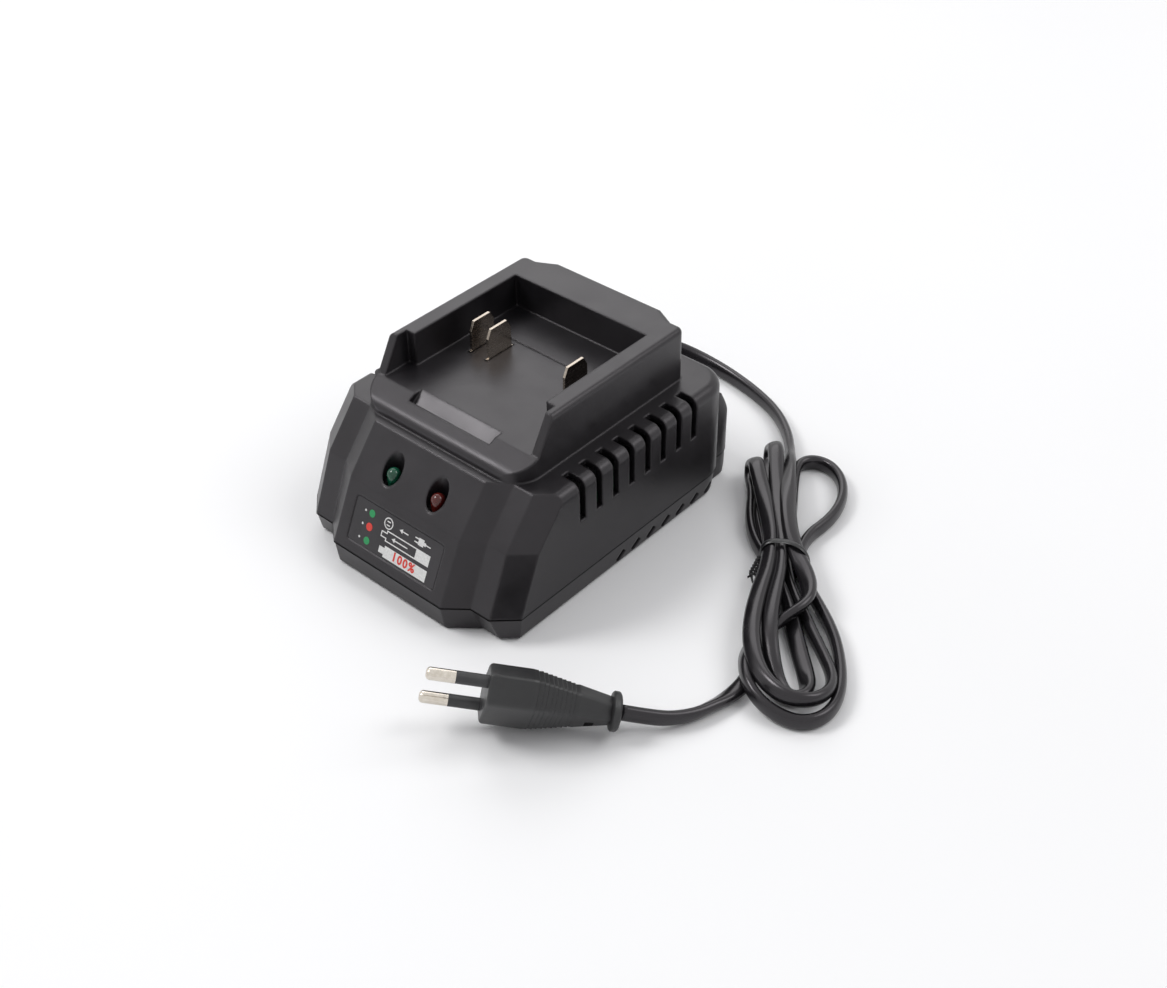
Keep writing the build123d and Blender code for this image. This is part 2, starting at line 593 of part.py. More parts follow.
def top_housing():
    shell = upper_body(0, 0, DECK_Z)
    shoulder = [
        e for e in shell.edges()
        if e.center().Z > DECK_Z - 0.01
        and (abs(e.center().X) > SIDE - REAR_CORNER_RADIUS + 1 and e.center().Y > NOTCH_Y - NOTCH_RUN
             or e.center().Y > BACK_WALL - 1)
    ]
    shell = fillet(shoulder, SHOULDER_RADIUS)
    shell -= upper_body(WALL, FRONT_WALL, DECK_Z - WALL)
    shell += dock_block()
    shell -= dock_hollow()
    shell -= lip_solid(LIP_CLEARANCE, SEAM_Z + LIP_HEIGHT + LIP_CLEARANCE)
    post_room = upper_body(WALL / 2, FRONT_WALL / 2, DECK_Z)
    for x, y in screw_places():
        post = upright(POST_RADIUS, x, y, (POST_MEET_Z, DECK_Z)) & post_room
        pilot = upright(SCREW_RADIUS, x, y, (POST_MEET_Z, SCREW_SEAT_Z + SCREW_LENGTH + PILOT_SPARE))
        shell = shell + post - pilot
    for x in BLADE_X.values():
        half = BLADE_THICKNESS / 2 + BLADE_SLOT_CLEARANCE
        along = (BLADE_FRONT_Y - SLOT_END_GAP, BLADE_BACK_Y + SLOT_END_GAP)
        shell -= block((x - half, x + half), along, (FLOOR_UNDERSIDE - 1, FLOOR_Z + 1))
    for x in BLOCK_SCREW_X:
        depth = (FLOOR_UNDERSIDE - 1, FLOOR_Z - BLOCK_SCREW_SKIN)
        shell -= upright(SMALL_SCREW_RADIUS, x, BLADE_MIDDLE_Y, depth)
    for side in (-1, 1):
        x = side * LAMP_X
        shell += upright(WELL_RADIUS + WELL_WALL, x, LAMP_Y, (WELL_UNDERSIDE, DECK_Z)) & post_room
        shell -= upright(WELL_RADIUS, x, LAMP_Y, (WELL_UNDERSIDE + WELL_FLOOR, DECK_Z))
        shell -= upright(LAMP_RADIUS + LAMP_HOLE_CLEARANCE, x, LAMP_Y, (WELL_UNDERSIDE - 1, DECK_Z))
    recess = front_slope_plane(LABEL_ABOVE_SEAM) * Pos(0, 0, -LABEL_RECESS)
    pad = RectangleRounded(LABEL_WIDTH, LABEL_HEIGHT, LABEL_CORNER_RADIUS)
    shell -= recess * extrude(pad, amount=LABEL_RECESS + 1)
    for tool in vent_tools():
        shell -= tool
    collar_top = collar((SEAM_Z, SEAM_Z + COLLAR_RISE))
    collar_top -= block(
        (-SIDE, SIDE),
        (BACK - LIP_INSET - LIP_THICKNESS - LIP_CLEARANCE, BACK),
        (SEAM_Z, SEAM_Z + LIP_HEIGHT + LIP_CLEARANCE),
    )
    shell += collar_top & upper_body(0, 0, DECK_Z)
    shell -= cord_hole(BOOT_BASE_RADIUS, (COLLAR_FACE_Y - 1, BACK + 1))
    return shell


def lower_body(inset, front_inset, low, high):
    """The lower shell's outline between two heights, without its bulge."""
    z, panel_y, strip_y = FACET_LEVELS[0]
    outline = facet_section((0, panel_y, strip_y), front_inset)
    outline &= plan_face(SIDE - inset, FRONT - WALL, BACK_WALL - inset, REAR_CORNER_RADIUS - inset)
    return Pos(0, 0, low) * extrude(outline, amount=high - low)


def lower_bulge(inset, low, high):
    """The lower part of the cord bulge, drawn in under the seam."""
    back = BACK - inset
    plan = plan_face(
        BULGE_HALF - inset, BACK_WALL - 2 * BULGE_CORNER_RADIUS, back, BULGE_CORNER_RADIUS - inset
    )
    solid = Pos(0, 0, low) * extrude(plan, amount=high - low)
    beyond = BACK + WALL
    return solid - side_profile(
        [(back - BULGE_UNDERCUT, SHELL_Z), (back, SEAM_Z), (beyond, SEAM_Z), (beyond, SHELL_Z)], SIDE
    )


def lower_solid(inset, front_inset, low, high):
    return lower_body(inset, front_inset, low, high) + lower_bulge(inset, low, high)


def drawn_body(inset):
    """The lower shell from its foot to the seam, drawn in towards the foot."""
    z, panel_y, strip_y = FACET_LEVELS[0]
    foot_level = (SHELL_Z, BASE_DRAW, strip_y + BASE_STRIP_DRAW)
    slant_spread = SLANT_WIDTH * (BASE_STRIP_DRAW - BASE_DRAW) / (strip_y - panel_y)
    foot = facet_section(foot_level, inset, slant_spread, BASE_CORNER_SPREAD)
    front = loft([foot, facet_section((SEAM_Z, panel_y, strip_y), inset)], ruled=True)
    height = SEAM_Z - SHELL_Z
    draw = math.degrees(math.atan(BASE_DRAW / height))
    plan = plan_face(SIDE - inset, FRONT - BASE_WIDTH, BACK_WALL - inset, REAR_CORNER_RADIUS - inset)
    return front & extrude(Pos(0, 0, SEAM_Z) * plan, amount=height, dir=(0, 0, -1), taper=draw)


def lip_solid(clearance, high):
    """The tongue's outer shape, filled in."""
    return lower_solid(LIP_INSET - clearance, LIP_FRONT_INSET - clearance, SEAM_Z, high)


def bottom_housing():
    shell = drawn_body(SEAM_STEP)
    underside = shell.faces().sort_by(Axis.Z)[0]
    rim = [e for e in underside.outer_wire().edges() if e.center().Y < BACK_WALL - 1]
    slants = [e for e in rim if PANEL_HALF < abs(e.center().X) < PANEL_HALF + SLANT_WIDTH]
    shell = chamfer([e for e in rim if e not in slants], BOTTOM_CHAMFER)
    shell += lower_bulge(SEAM_STEP, SHELL_Z, SEAM_Z)
    shell += lip_solid(0, SEAM_Z + LIP_HEIGHT)
    within = LIP_INSET + LIP_THICKNESS
    above_floor = block((-SIDE, SIDE), (FRONT, BACK), (SHELL_FLOOR_Z, SEAM_Z))
    shell -= (drawn_body(LIP_FRONT_INSET + LIP_THICKNESS) & above_floor)
    shell -= lower_bulge(within, SHELL_FLOOR_Z, SEAM_Z)
    shell -= lower_solid(within, LIP_FRONT_INSET + LIP_THICKNESS, SEAM_Z, SEAM_Z + LIP_HEIGHT + 1)
    shell += collar((SHELL_FLOOR_Z, SEAM_Z)) & lower_bulge(SEAM_STEP, SHELL_Z, SEAM_Z)
    boss_room = lower_body(LIP_INSET, LIP_FRONT_INSET, SHELL_Z, POST_MEET_Z)
    for x, y in screw_places():
        shell += upright(BOSS_RADIUS, x, y, (SHELL_Z, POST_MEET_Z)) & boss_room
        shell -= upright(SCREW_HEAD_RADIUS + SCREW_CLEARANCE, x, y, (0, SCREW_SEAT_Z))
        shell -= upright(SCREW_RADIUS + SCREW_CLEARANCE, x, y, (0, POST_MEET_Z + 1))
    for x, y in board_screw_places():
        shell += upright(BOARD_BOSS_RADIUS, x, y, (SHELL_FLOOR_Z, BOARD_Z))
        shell -= upright(SMALL_SCREW_RADIUS, x, y, (SHELL_FLOOR_Z, BOARD_Z + 1))
    for x, y in foot_places():
        shell -= upright(FOOT_RADIUS, x, y, (0, SHELL_Z + FOOT_SINK))
    shell += clamp_saddle()
    shell -= clamp_holes()
    for tool in low_vent_tools():
        shell -= tool
    shell -= cord_hole(BOOT_BASE_RADIUS, (COLLAR_FACE_Y - 1, BACK + 1))
    return shell - rating_label()


# ---- Cord clamp, boot and inner end of the lead ----

def clamp_screw_places():
    return [(EXIT_X + side * CLAMP_SCREW_SPAN / 2, CLAMP_Y) for side in (-1, 1)]


def clamp_saddle():
    """A saddle on the floor that the sheath lies in."""
    return block(
        (EXIT_X - CLAMP_WIDTH / 2, EXIT_X + CLAMP_WIDTH / 2),
        (CLAMP_Y - CLAMP_DEPTH / 2, CLAMP_Y + CLAMP_DEPTH / 2),
        (SHELL_FLOOR_Z, EXIT_Z),
    )


def clamp_holes():
    holes = Pos(EXIT_X, CLAMP_Y, EXIT_Z) * Rot(X=90) * Cylinder(CORD_RADIUS, CLAMP_DEPTH + 1)
    for x, y in clamp_screw_places():
        holes += upright(SMALL_SCREW_RADIUS, x, y, (SHELL_FLOOR_Z + CLAMP_SCREW_FLOOR, EXIT_Z + 1))
    return holes


def cord_clamp():
    bar = block(
        (EXIT_X - CLAMP_WIDTH / 2, EXIT_X + CLAMP_WIDTH / 2),
        (CLAMP_Y - CLAMP_DEPTH / 2, CLAMP_Y + CLAMP_DEPTH / 2),
        (EXIT_Z, CLAMP_TOP_Z),
    )
    bar -= Pos(EXIT_X, CLAMP_Y, EXIT_Z) * Rot(X=90) * Cylinder(CORD_RADIUS, CLAMP_DEPTH + 1)
    for x, y in clamp_screw_places():
        bar -= upright(SMALL_SCREW_RADIUS, x, y, (EXIT_Z - 1, CLAMP_TOP_Z + 1))
    return bar


def strain_relief():
    """A tapered boot with a flange inside the wall and a bore for the cord's end."""
    tip_y = BACK + BOOT_LENGTH
    outer = loft(
        [
            Plane(origin=(EXIT_X, BACK, EXIT_Z), z_dir=(0, 1, 0)) * Circle(BOOT_BASE_RADIUS),
            Plane(origin=(EXIT_X, tip_y, EXIT_Z), z_dir=(0, 1, 0)) * Circle(BOOT_TIP_RADIUS),
        ]
    )
    neck = cord_hole(BOOT_BASE_RADIUS, (COLLAR_FACE_Y, BACK))
    flange = cord_hole(BOOT_FLANGE_RADIUS, (BOOT_INNER_Y, COLLAR_FACE_Y))
    bore = cord_hole(CORD_RADIUS, (BOOT_INNER_Y - 1, BACK))
    return outer + neck + flange - bore


def sheath_end():
    return cord_hole(CORD_RADIUS, (SHEATH_END_Y, BACK))


def self_tapper(place, seat_z, shank, head_radius, head_height, length, up):
    """A pan head screw; up is 1 when it is driven upwards and -1 when driven downwards."""
    x, y = place
    shaft = upright(shank, x, y, sorted((seat_z, seat_z + up * length)))
    head = upright(head_radius, x, y, sorted((seat_z, seat_z - up * head_height)))
    drive_z = sorted((seat_z - up * head_height, seat_z - up * head_height * 0.4))
    reach = head_radius * 0.55
    slot = head_radius * 0.13
    drive = block((x - reach, x + reach), (y - slot, y + slot), drive_z)
    cross = block((x - slot, x + slot), (y - reach, y + reach), drive_z)
    return shaft + head - drive - cross


def small_screw(place, seat_z, length, up):
    return self_tapper(
        place, seat_z, SMALL_SCREW_RADIUS, SMALL_SCREW_HEAD_RADIUS, SMALL_SCREW_HEAD_HEIGHT, length, up
    )


def mains_wire(side):
    """From the end of the sheath down to its pad; the two lie side by side."""
    start_x = EXIT_X + side * MAINS_WIRE_RADIUS
    pad_x = LIVE_PAD_X + MAINS_PAD_PITCH * (side + 1) / 2
    pad_y = BOARD_BACK_Y - MAINS_WIRE_PAD_IN
    middle_y = (SHEATH_END_Y + pad_y) / 2
    points = [
        (start_x, SHEATH_END_Y, EXIT_Z),
        (start_x, SHEATH_END_Y - 2, EXIT_Z),
        (pad_x, middle_y, BOARD_TOP + 5),
        (pad_x, pad_y, BOARD_TOP + 4),
        (pad_x, pad_y, BOARD_TOP),
    ]
    return tube(points, MAINS_WIRE_RADIUS)[0]


# ---- Blades, block and their wires ----

def blade(x):
    """A plate that stands up through the dock floor, with a narrow tail under its block."""
    top = FLOOR_Z + BLADE_RISE
    foot = BLOCK_Z + BLOCK_FOOT
    tail = BLADE_TAIL_WIDTH / 2
    outline = [
        (BLADE_FRONT_Y, foot),
        (BLADE_FRONT_Y, FLOOR_Z + 0.2),
        (BLADE_FRONT_Y + 0.8, FLOOR_Z + 0.2),
        (BLADE_FRONT_Y + 0.9, top - 3.4),
        (BLADE_FRONT_Y + BLADE_TIP_LEAD, top),
        (BLADE_BACK_Y - BLADE_HEEL_LEAD, top),
        (BLADE_BACK_Y - 0.7, top - 3.0),
        (BLADE_BACK_Y - 0.6, FLOOR_Z + 0.2),
        (BLADE_BACK_Y, FLOOR_Z + 0.2),
        (BLADE_BACK_Y, foot),
        (BLADE_MIDDLE_Y + tail, foot),
        (BLADE_MIDDLE_Y + tail, BLOCK_Z - BLADE_TAIL_DROP),
        (BLADE_MIDDLE_Y - tail, BLOCK_Z - BLADE_TAIL_DROP),
        (BLADE_MIDDLE_Y - tail, foot),
    ]
    return Pos(x, 0, 0) * side_profile(outline, BLADE_THICKNESS / 2)


def terminal_block():
    body = block(
        (-BLOCK_HALF, BLOCK_HALF),
        (BLADE_FRONT_Y - BLOCK_END_MARGIN, BLADE_BACK_Y + BLOCK_END_MARGIN),
        (BLOCK_Z, FLOOR_UNDERSIDE),
    )
    for x in BLADE_X.values():
        body -= blade(x)
    for x in BLOCK_SCREW_X:
        body -= upright(SMALL_SCREW_RADIUS, x, BLADE_MIDDLE_Y, (BLOCK_Z - 1, FLOOR_UNDERSIDE + 1))
    return body


def terminal_block_screws():
    length = FLOOR_Z - BLOCK_SCREW_SKIN - BLOCK_Z - 0.2
    return [small_screw((x, BLADE_MIDDLE_Y), BLOCK_Z, length, 1) for x in BLOCK_SCREW_X]


def output_wire(polarity, x):
    """From a blade's tail forward and down to its pad, which stays clear of the power packages."""
    pad_x = {
        "negative": NEGATIVE_PAD_TO_PACKAGE - PACKAGE_INNER_X,
        "signal": x,
        "positive": PACKAGE_INNER_X - POSITIVE_PAD_TO_PACKAGE,
    }[polarity]
    tail_z = BLOCK_Z - BLADE_TAIL_DROP
    pad_y = OUTPUT_CAPACITORS_Y + OUTPUT_CAPACITORS["radius"] + PAD_BEHIND_CAPACITORS
    points = [
        (x, BLADE_MIDDLE_Y, tail_z),
        (x, BLADE_MIDDLE_Y, tail_z - OUTPUT_WIRE_DROP),
        (pad_x, pad_y, BOARD_TOP + OUTPUT_WIRE_RISE),
        (pad_x, pad_y, BOARD_TOP),
    ]
    return tube(points, OUTPUT_WIRE_RADIUS)[0]


# ---- Lamps and label ----

def lamp(x):
    flange = upright(LAMP_FLANGE_RADIUS, x, LAMP_Y, (LAMP_BASE_Z, LAMP_BASE_Z + LAMP_FLANGE))
    barrel = upright(LAMP_RADIUS, x, LAMP_Y, (LAMP_BASE_Z, LAMP_TOP_Z - LAMP_RADIUS))
    dome = Pos(x, LAMP_Y, LAMP_TOP_Z - LAMP_RADIUS) * Sphere(LAMP_RADIUS)
    return flange + barrel + dome


def lamp_spacer(x):
    return upright(LAMP_RADIUS, x, LAMP_Y, (BOARD_TOP, LAMP_BASE_Z))


def indicator_label():
    sheet = RectangleRounded(
        LABEL_WIDTH - 2 * LABEL_MARGIN, LABEL_HEIGHT - 2 * LABEL_MARGIN, LABEL_CORNER_RADIUS - LABEL_MARGIN
    )
    seat = front_slope_plane(LABEL_ABOVE_SEAM) * Pos(0, 0, -LABEL_RECESS)
    return seat * extrude(sheet, amount=LABEL_THICKNESS)


def rating_label():
    return Pos(0, 0, SHELL_Z + RATING_THICKNESS / 2) * Box(RATING_WIDTH, RATING_DEPTH, RATING_THICKNESS)


# ---- Board and its components ----

def main_board():
    board = block((-BOARD_HALF, BOARD_HALF), (BOARD_FRONT_Y, BOARD_BACK_Y), (BOARD_Z, BOARD_TOP))
    for x, y in board_screw_places():
        board -= upright(SMALL_SCREW_RADIUS, x, y, (BOARD_Z - 1, BOARD_TOP + 1))
    return board


def on_board(x, y, size):
    """A box that stands on the board, given its middle and its size."""
    return Pos(x, y, BOARD_TOP + size[2] / 2) * Box(*size)


def component(x, values):
    """A box placed from the board's front or back edge, or in front of the transformer."""
    if "from_back" in values:
        y = BOARD_BACK_Y - values["from_back"]
    elif "to_bobbin" in values:
        y = BOBBIN_FRONT_Y - values["to_bobbin"] - values["size"][1] / 2
    else:
        y = BOARD_FRONT_Y + values["from_front"]
    return on_board(x, y, values["size"])


def can_capacitor(x, y, radius, height):
    can = upright(radius, x, y, (BOARD_TOP, BOARD_TOP + height))
    return fillet(can.edges(), CAN_EDGE_RADIUS)


def bulk_capacitor():
    y = BOARD_BACK_Y - BULK_CAPACITOR["from_back"]
    return can_capacitor(BULK_CAPACITOR_X, y, BULK_CAPACITOR["radius"], BULK_CAPACITOR["height"])


def output_capacitors():
    y = OUTPUT_CAPACITORS_Y
    radius = OUTPUT_CAPACITORS["radius"]
    return [can_capacitor(x, y, radius, OUTPUT_CAPACITORS["height"]) for x in OUTPUT_CAPACITORS["x"]]


def mains_fuse():
    y = BOARD_BACK_Y - FUSE_FROM_BACK
    return Pos(FUSE_X, y, BOARD_TOP + FUSE_RADIUS) * Rot(X=90) * Cylinder(FUSE_RADIUS, FUSE_LENGTH)


def limb_box(half_x, half_y, z):
    """A block round the transformer's upright axis."""
    return block(
        (TRANSFORMER_X - half_x, TRANSFORMER_X + half_x),
        (BOARD_MIDDLE_Y - half_y, BOARD_MIDDLE_Y + half_y),
        z,
    )


def window_heights():
    return BOARD_TOP + CORE_LIMB / 2, BOARD_TOP + CORE_SIZE[2] - CORE_LIMB / 2


def transformer_core():
    """An EE core: yokes above and below, a middle limb and two outer limbs."""
    core = on_board(TRANSFORMER_X, BOARD_MIDDLE_Y, CORE_SIZE)
    half_y = CORE_SIZE[1]
    inner = CORE_SIZE[0] / 2 - CORE_LIMB / 2
    window = limb_box(inner, half_y, window_heights())
    return core - (window - limb_box(CORE_LIMB / 2, half_y + 1, window_heights()))


def transformer_bobbin():
    low, high = window_heights()
    reach = CORE_SIZE[0] / 2 - CORE_LIMB / 2
    body = limb_box(CORE_LIMB / 2 + BOBBIN_WALL, CORE_SIZE[1] / 2 + BOBBIN_WALL, (low, high))
    body += limb_box(reach, BOBBIN_DEPTH / 2, (low, low + BOBBIN_FLANGE))
    body += limb_box(reach, BOBBIN_DEPTH / 2, (high - BOBBIN_FLANGE, high))
    return body - limb_box(CORE_LIMB / 2, CORE_SIZE[1] / 2, (low - 1, high + 1))


def transformer_winding():
    low, high = window_heights()
    half_x = CORE_LIMB / 2 + BOBBIN_WALL
    half_y = CORE_SIZE[1] / 2 + BOBBIN_WALL
    span = (low + BOBBIN_FLANGE, high - BOBBIN_FLANGE)
    coil = limb_box(half_x + WINDING_THICKNESS, half_y + WINDING_THICKNESS, span)
    return coil - limb_box(half_x, half_y, (low, high))


def choke_ring(radius, bore, width):
    """A toroid that stands on edge."""
    ring = Cylinder(radius, width) - Cylinder(bore, width + 1)
    place = Pos(CHOKE_X, BOARD_BACK_Y - CHOKE["from_back"], BOARD_TOP + CHOKE["radius"] + CHOKE_WIRE)
    return place * Rot(X=90) * ring


def choke_core():
    return choke_ring(CHOKE["radius"], CHOKE["bore"], CHOKE["width"])


def choke_winding():
    """Two banks of wire round the toroid, joined under it."""
    wound = CHOKE["width"] + 2 * CHOKE_WIRE
    skin = choke_ring(CHOKE["radius"] + CHOKE_WIRE, CHOKE["bore"] - CHOKE_WIRE, wound)
    skin -= choke_core()
    y = BOARD_BACK_Y - CHOKE["from_back"]
    gap = block(
        (CHOKE_X - CHOKE_GAP / 2, CHOKE_X + CHOKE_GAP / 2),
        (y - CHOKE["width"], y + CHOKE["width"]),
        (BOARD_TOP + CHOKE_WIRE, BOARD_TOP + 2 * CHOKE["radius"] + 3 * CHOKE_WIRE),
    )
    return skin - gap


def heatsink(side):
    """An upright plate beside the transformer; side is -1 or 1."""
    x = side * (BOARD_HALF - HEATSINK_FROM_EDGE)
    return on_board(x, BOARD_MIDDLE_Y, (HEATSINK_THICKNESS, HEATSINK_LENGTH, HEATSINK_HEIGHT))


def power_package(side, legs):
    """A plastic package against the inner face of its heatsink, on legs down to the board."""
    x = side * (BOARD_HALF - HEATSINK_FROM_EDGE - (HEATSINK_THICKNESS + PACKAGE_BODY[0]) / 2)
    y = BOARD_MIDDLE_Y
    low = BOARD_TOP + PACKAGE_LIFT
    body = Pos(x, y, low + PACKAGE_BODY[2] / 2) * Box(*PACKAGE_BODY)
    for index in range(legs):
        leg_y = y + (index - (legs - 1) / 2) * PACKAGE_LEG_PITCH
        body += block(
            (x - PACKAGE_LEG / 2, x + PACKAGE_LEG / 2),
            (leg_y - PACKAGE_LEG / 2, leg_y + PACKAGE_LEG / 2),
            (BOARD_TOP, low),
        )
    return body


# ---- Hank and its tie ----

def slab(outline, height):
    """A closed outline with round corners, standing on the table."""
    corners = [Vector(x, y, 0) for x, y in outline]
    count = len(corners)
    radii = []
    for index, corner in enumerate(corners):
        before = corners[index - 1]
        after = corners[(index + 1) % count]
        turn = math.radians((corner - before).get_angle(after - corner))
        shorter = min((corner - before).length, (after - corner).length)
        radii.append(0.4 * shorter / math.tan(turn / 2))
    outline_wire = FilletPolyline(*corners, radius=radii, close=True)
    return extrude(make_face(outline_wire), amount=height)


def tie_frame():
    return Plane(
        origin=(*TIE_CENTRE, 0),
        x_dir=(math.cos(math.radians(TIE_ANGLE)), math.sin(math.radians(TIE_ANGLE)), 0),
        z_dir=(0, 0, 1),
    )


def plain_hank():
    return slab(HANK_OUTLINE, HANK_HEIGHT) + slab(SIDE_LOOP_OUTLINE, SIDE_LOOP_HEIGHT)


def tie_band():
    """A flat band round the waist of the hank, drawn in at top and bottom."""
    reach = 5 * HANK_HEIGHT
    slice_box = tie_frame() * (Pos(0, 0, HANK_HEIGHT / 2) * Box(reach, TIE_WIDTH, 2 * HANK_HEIGHT))
    waist = (plain_hank() & slice_box).solids().sort_by(SortBy.VOLUME)[-1]
    corners = [tie_frame().to_local_coords(v.center()) for v in waist.vertices()]
    low_x = min(c.X for c in corners)
    high_x = max(c.X for c in corners)
    outer = Box(high_x - low_x + 2 * TIE_THICKNESS, TIE_WIDTH, HANK_HEIGHT)
    inner = Box(high_x - low_x, TIE_WIDTH + 1, HANK_HEIGHT - 2 * TIE_THICKNESS)
    ring = Pos((low_x + high_x) / 2, 0, HANK_HEIGHT / 2) * (outer - inner)
    twist = Pos(low_x - TIE_THICKNESS - TIE_TAIL_LENGTH / 2, 0, HANK_HEIGHT / 2)
    twist *= Rot(Y=90)
    return tie_frame() * ring + tie_frame() * (twist * Cylinder(TIE_THICKNESS, TIE_TAIL_LENGTH))


# ---- Plug ----

def plug_plane(along):
    """Local X runs from pin to pin, Z towards the pins; along is measured from the face."""
    face = Vector(*PLUG_FACE)
    axis = Vector(*PLUG_AXIS).normalized()
    wide = Vector(*PLUG_WIDE)
    return Plane(origin=face + axis * along, x_dir=wide, z_dir=axis)


def plug_body():
    section = [
        (PLUG_HALF_WIDTH, 0), (PLUG_FLAT_HALF, PLUG_HALF_THICKNESS), (-PLUG_FLAT_HALF, PLUG_HALF_THICKNESS),
        (-PLUG_HALF_WIDTH, 0), (-PLUG_FLAT_HALF, -PLUG_HALF_THICKNESS), (PLUG_FLAT_HALF, -PLUG_HALF_THICKNESS),
    ]
    neck = [(x * PLUG_NECK_SCALE, y * PLUG_NECK_THICKNESS_SCALE) for x, y in section]
    front = plug_plane(0) * make_face(Polyline(*section, close=True))
    middle = plug_plane(-PLUG_STRAIGHT) * make_face(Polyline(*section, close=True))
    rear = plug_plane(PLUG_FLANGE - PLUG_LENGTH) * make_face(Polyline(*neck, close=True))
    flange_plane = plug_plane(-PLUG_LENGTH)
    flange = flange_plane * extrude(Circle(PLUG_FLANGE_RADIUS), amount=PLUG_FLANGE)
    body = loft([front, middle], ruled=True) + loft([middle, rear], ruled=True) + flange
    for side in (-1, 1):
        root = Pos(side * PIN_SPACING / 2, 0, 0) * Circle(PIN_CORE_RADIUS)
        body -= plug_plane(-PIN_ROOT) * extrude(root, amount=PIN_ROOT + 1)
    return body


def plug_pin(side):
    root = Pos(side * PIN_SPACING / 2, 0, 0)
    core = plug_plane(-PIN_ROOT) * root * extrude(Circle(PIN_CORE_RADIUS), amount=PIN_ROOT + PIN_SLEEVE_LENGTH)
    bare = extrude(Circle(PIN_RADIUS), amount=PIN_LENGTH - PIN_SLEEVE_LENGTH)
    tip = bare.edges().sort_by(Axis.Z)[-1]
    bare = fillet(tip, PIN_TIP_RADIUS)
    return core + plug_plane(PIN_SLEEVE_LENGTH) * root * bare


def plug_sleeve(side):
    ring = extrude(Circle(PIN_RADIUS) - Circle(PIN_CORE_RADIUS), amount=PIN_SLEEVE_LENGTH)
    return plug_plane(0) * Pos(side * PIN_SPACING / 2, 0, 0) * ring


def plug_cord_points():
    """Where the cord turns into line with the plug, and where it enters it."""
    return [tuple(plug_plane(-PLUG_LENGTH - TAIL_LAST_RUN).origin), tuple(plug_plane(-PLUG_LENGTH).origin)]


# ---- Write the pieces ----

os.makedirs("parts", exist_ok=True)


def save(node, shape):
    """Write one node; a list of solids becomes one group."""
    if isinstance(shape, (list, tuple)):
        shape = Compound(children=list(shape))
    export_step(shape, f"parts/{node}.step")


hank_tie = tie_band()
hank = plain_hank() - hank_tie

lead_start = (EXIT_X, BACK + BOOT_LENGTH, EXIT_Z)
lead, lead_radii, lead_length = tube([lead_start, *LEAD_POINTS], CORD_RADIUS)
tail, tail_radii, tail_length = tube([*TAIL_POINTS, *plug_cord_points()], CORD_RADIUS)
for name, solid, radii, length in (
    ("lead", lead, lead_radii, lead_length),
    ("tail", tail, tail_radii, tail_length),
):
    share = solid.volume / (math.pi * CORD_RADIUS ** 2 * length)
    print(name, round(length, 1), "radii", [round(r, 1) for r in radii], "volume share", round(share, 4))

save("top_housing", top_housing())
save("bottom_housing", bottom_housing())
save("indicator_label", indicator_label())
save("rating_label", rating_label())
save("rubber_feet", [upright(FOOT_RADIUS, x, y, (0, SHELL_Z + FOOT_SINK)) for x, y in foot_places()])
save("housing_screws", [
    self_tapper(
        place, SCREW_SEAT_Z, SCREW_RADIUS, SCREW_HEAD_RADIUS, SCREW_HEAD_HEIGHT, SCREW_LENGTH, 1
    )
    for place in screw_places()
])

save("main_board", main_board())
save("board_screws", [small_screw(place, BOARD_TOP, BOARD_SCREW_LENGTH, -1) for place in board_screw_places()])
save("mains_fuse", mains_fuse())
save("suppression_capacitor", component(X_CAPACITOR_X, X_CAPACITOR))
save("choke_core", choke_core())
save("choke_winding", choke_winding())
save("bridge_rectifier", component(RECTIFIER_X, RECTIFIER))
save("bulk_capacitor", bulk_capacitor())
save("primary_heatsink", heatsink(-1))
save("switching_transistor", power_package(-1, 3))
save("transformer_core", transformer_core())
save("transformer_bobbin", transformer_bobbin())
save("transformer_winding", transformer_winding())
save("y_capacitor", component(Y_CAPACITOR["x"], Y_CAPACITOR))
save("opto_coupler", component(OPTO_COUPLER["x"], OPTO_COUPLER))
save("output_heatsink", heatsink(1))
save("output_diode", power_package(1, 2))
save("output_capacitors", output_capacitors())
save("controller_chip", component(CONTROLLER["x"], CONTROLLER))
save("green_lamp", lamp(-LAMP_X))
save("red_lamp", lamp(LAMP_X))
save("lamp_spacers", [lamp_spacer(side * LAMP_X) for side in (-1, 1)])

save("terminal_block", terminal_block())
save("terminal_block_screws", terminal_block_screws())
for polarity, blade_x in BLADE_X.items():
    save(f"{polarity}_blade", blade(blade_x))
    save(f"{polarity}_wire", output_wire(polarity, blade_x))

save("cord_clamp", cord_clamp())
save("cord_clamp_screws", [
    small_screw(place, CLAMP_TOP_Z, CLAMP_TOP_Z - SHELL_FLOOR_Z - CLAMP_SCREW_FLOOR, -1)
    for place in clamp_screw_places()
])
save("strain_relief", strain_relief())
save("sheath_end", sheath_end())
save("live_wire", mains_wire(-1))
save("neutral_wire", mains_wire(1))

save("cord_lead", lead - hank)
save("cord_hank", hank)
save("twist_tie", hank_tie)
save("cord_tail", tail - hank)
save("plug_body", plug_body())
save("plug_pins", [plug_pin(side) for side in (-1, 1)])
save("plug_pin_sleeves", [plug_sleeve(side) for side in (-1, 1)])
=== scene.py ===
"""Power tool battery charger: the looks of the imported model, with its mains lead laid strand by strand."""

import itertools
import json
import math

import bmesh
import bpy
from mathutils import Matrix, Vector


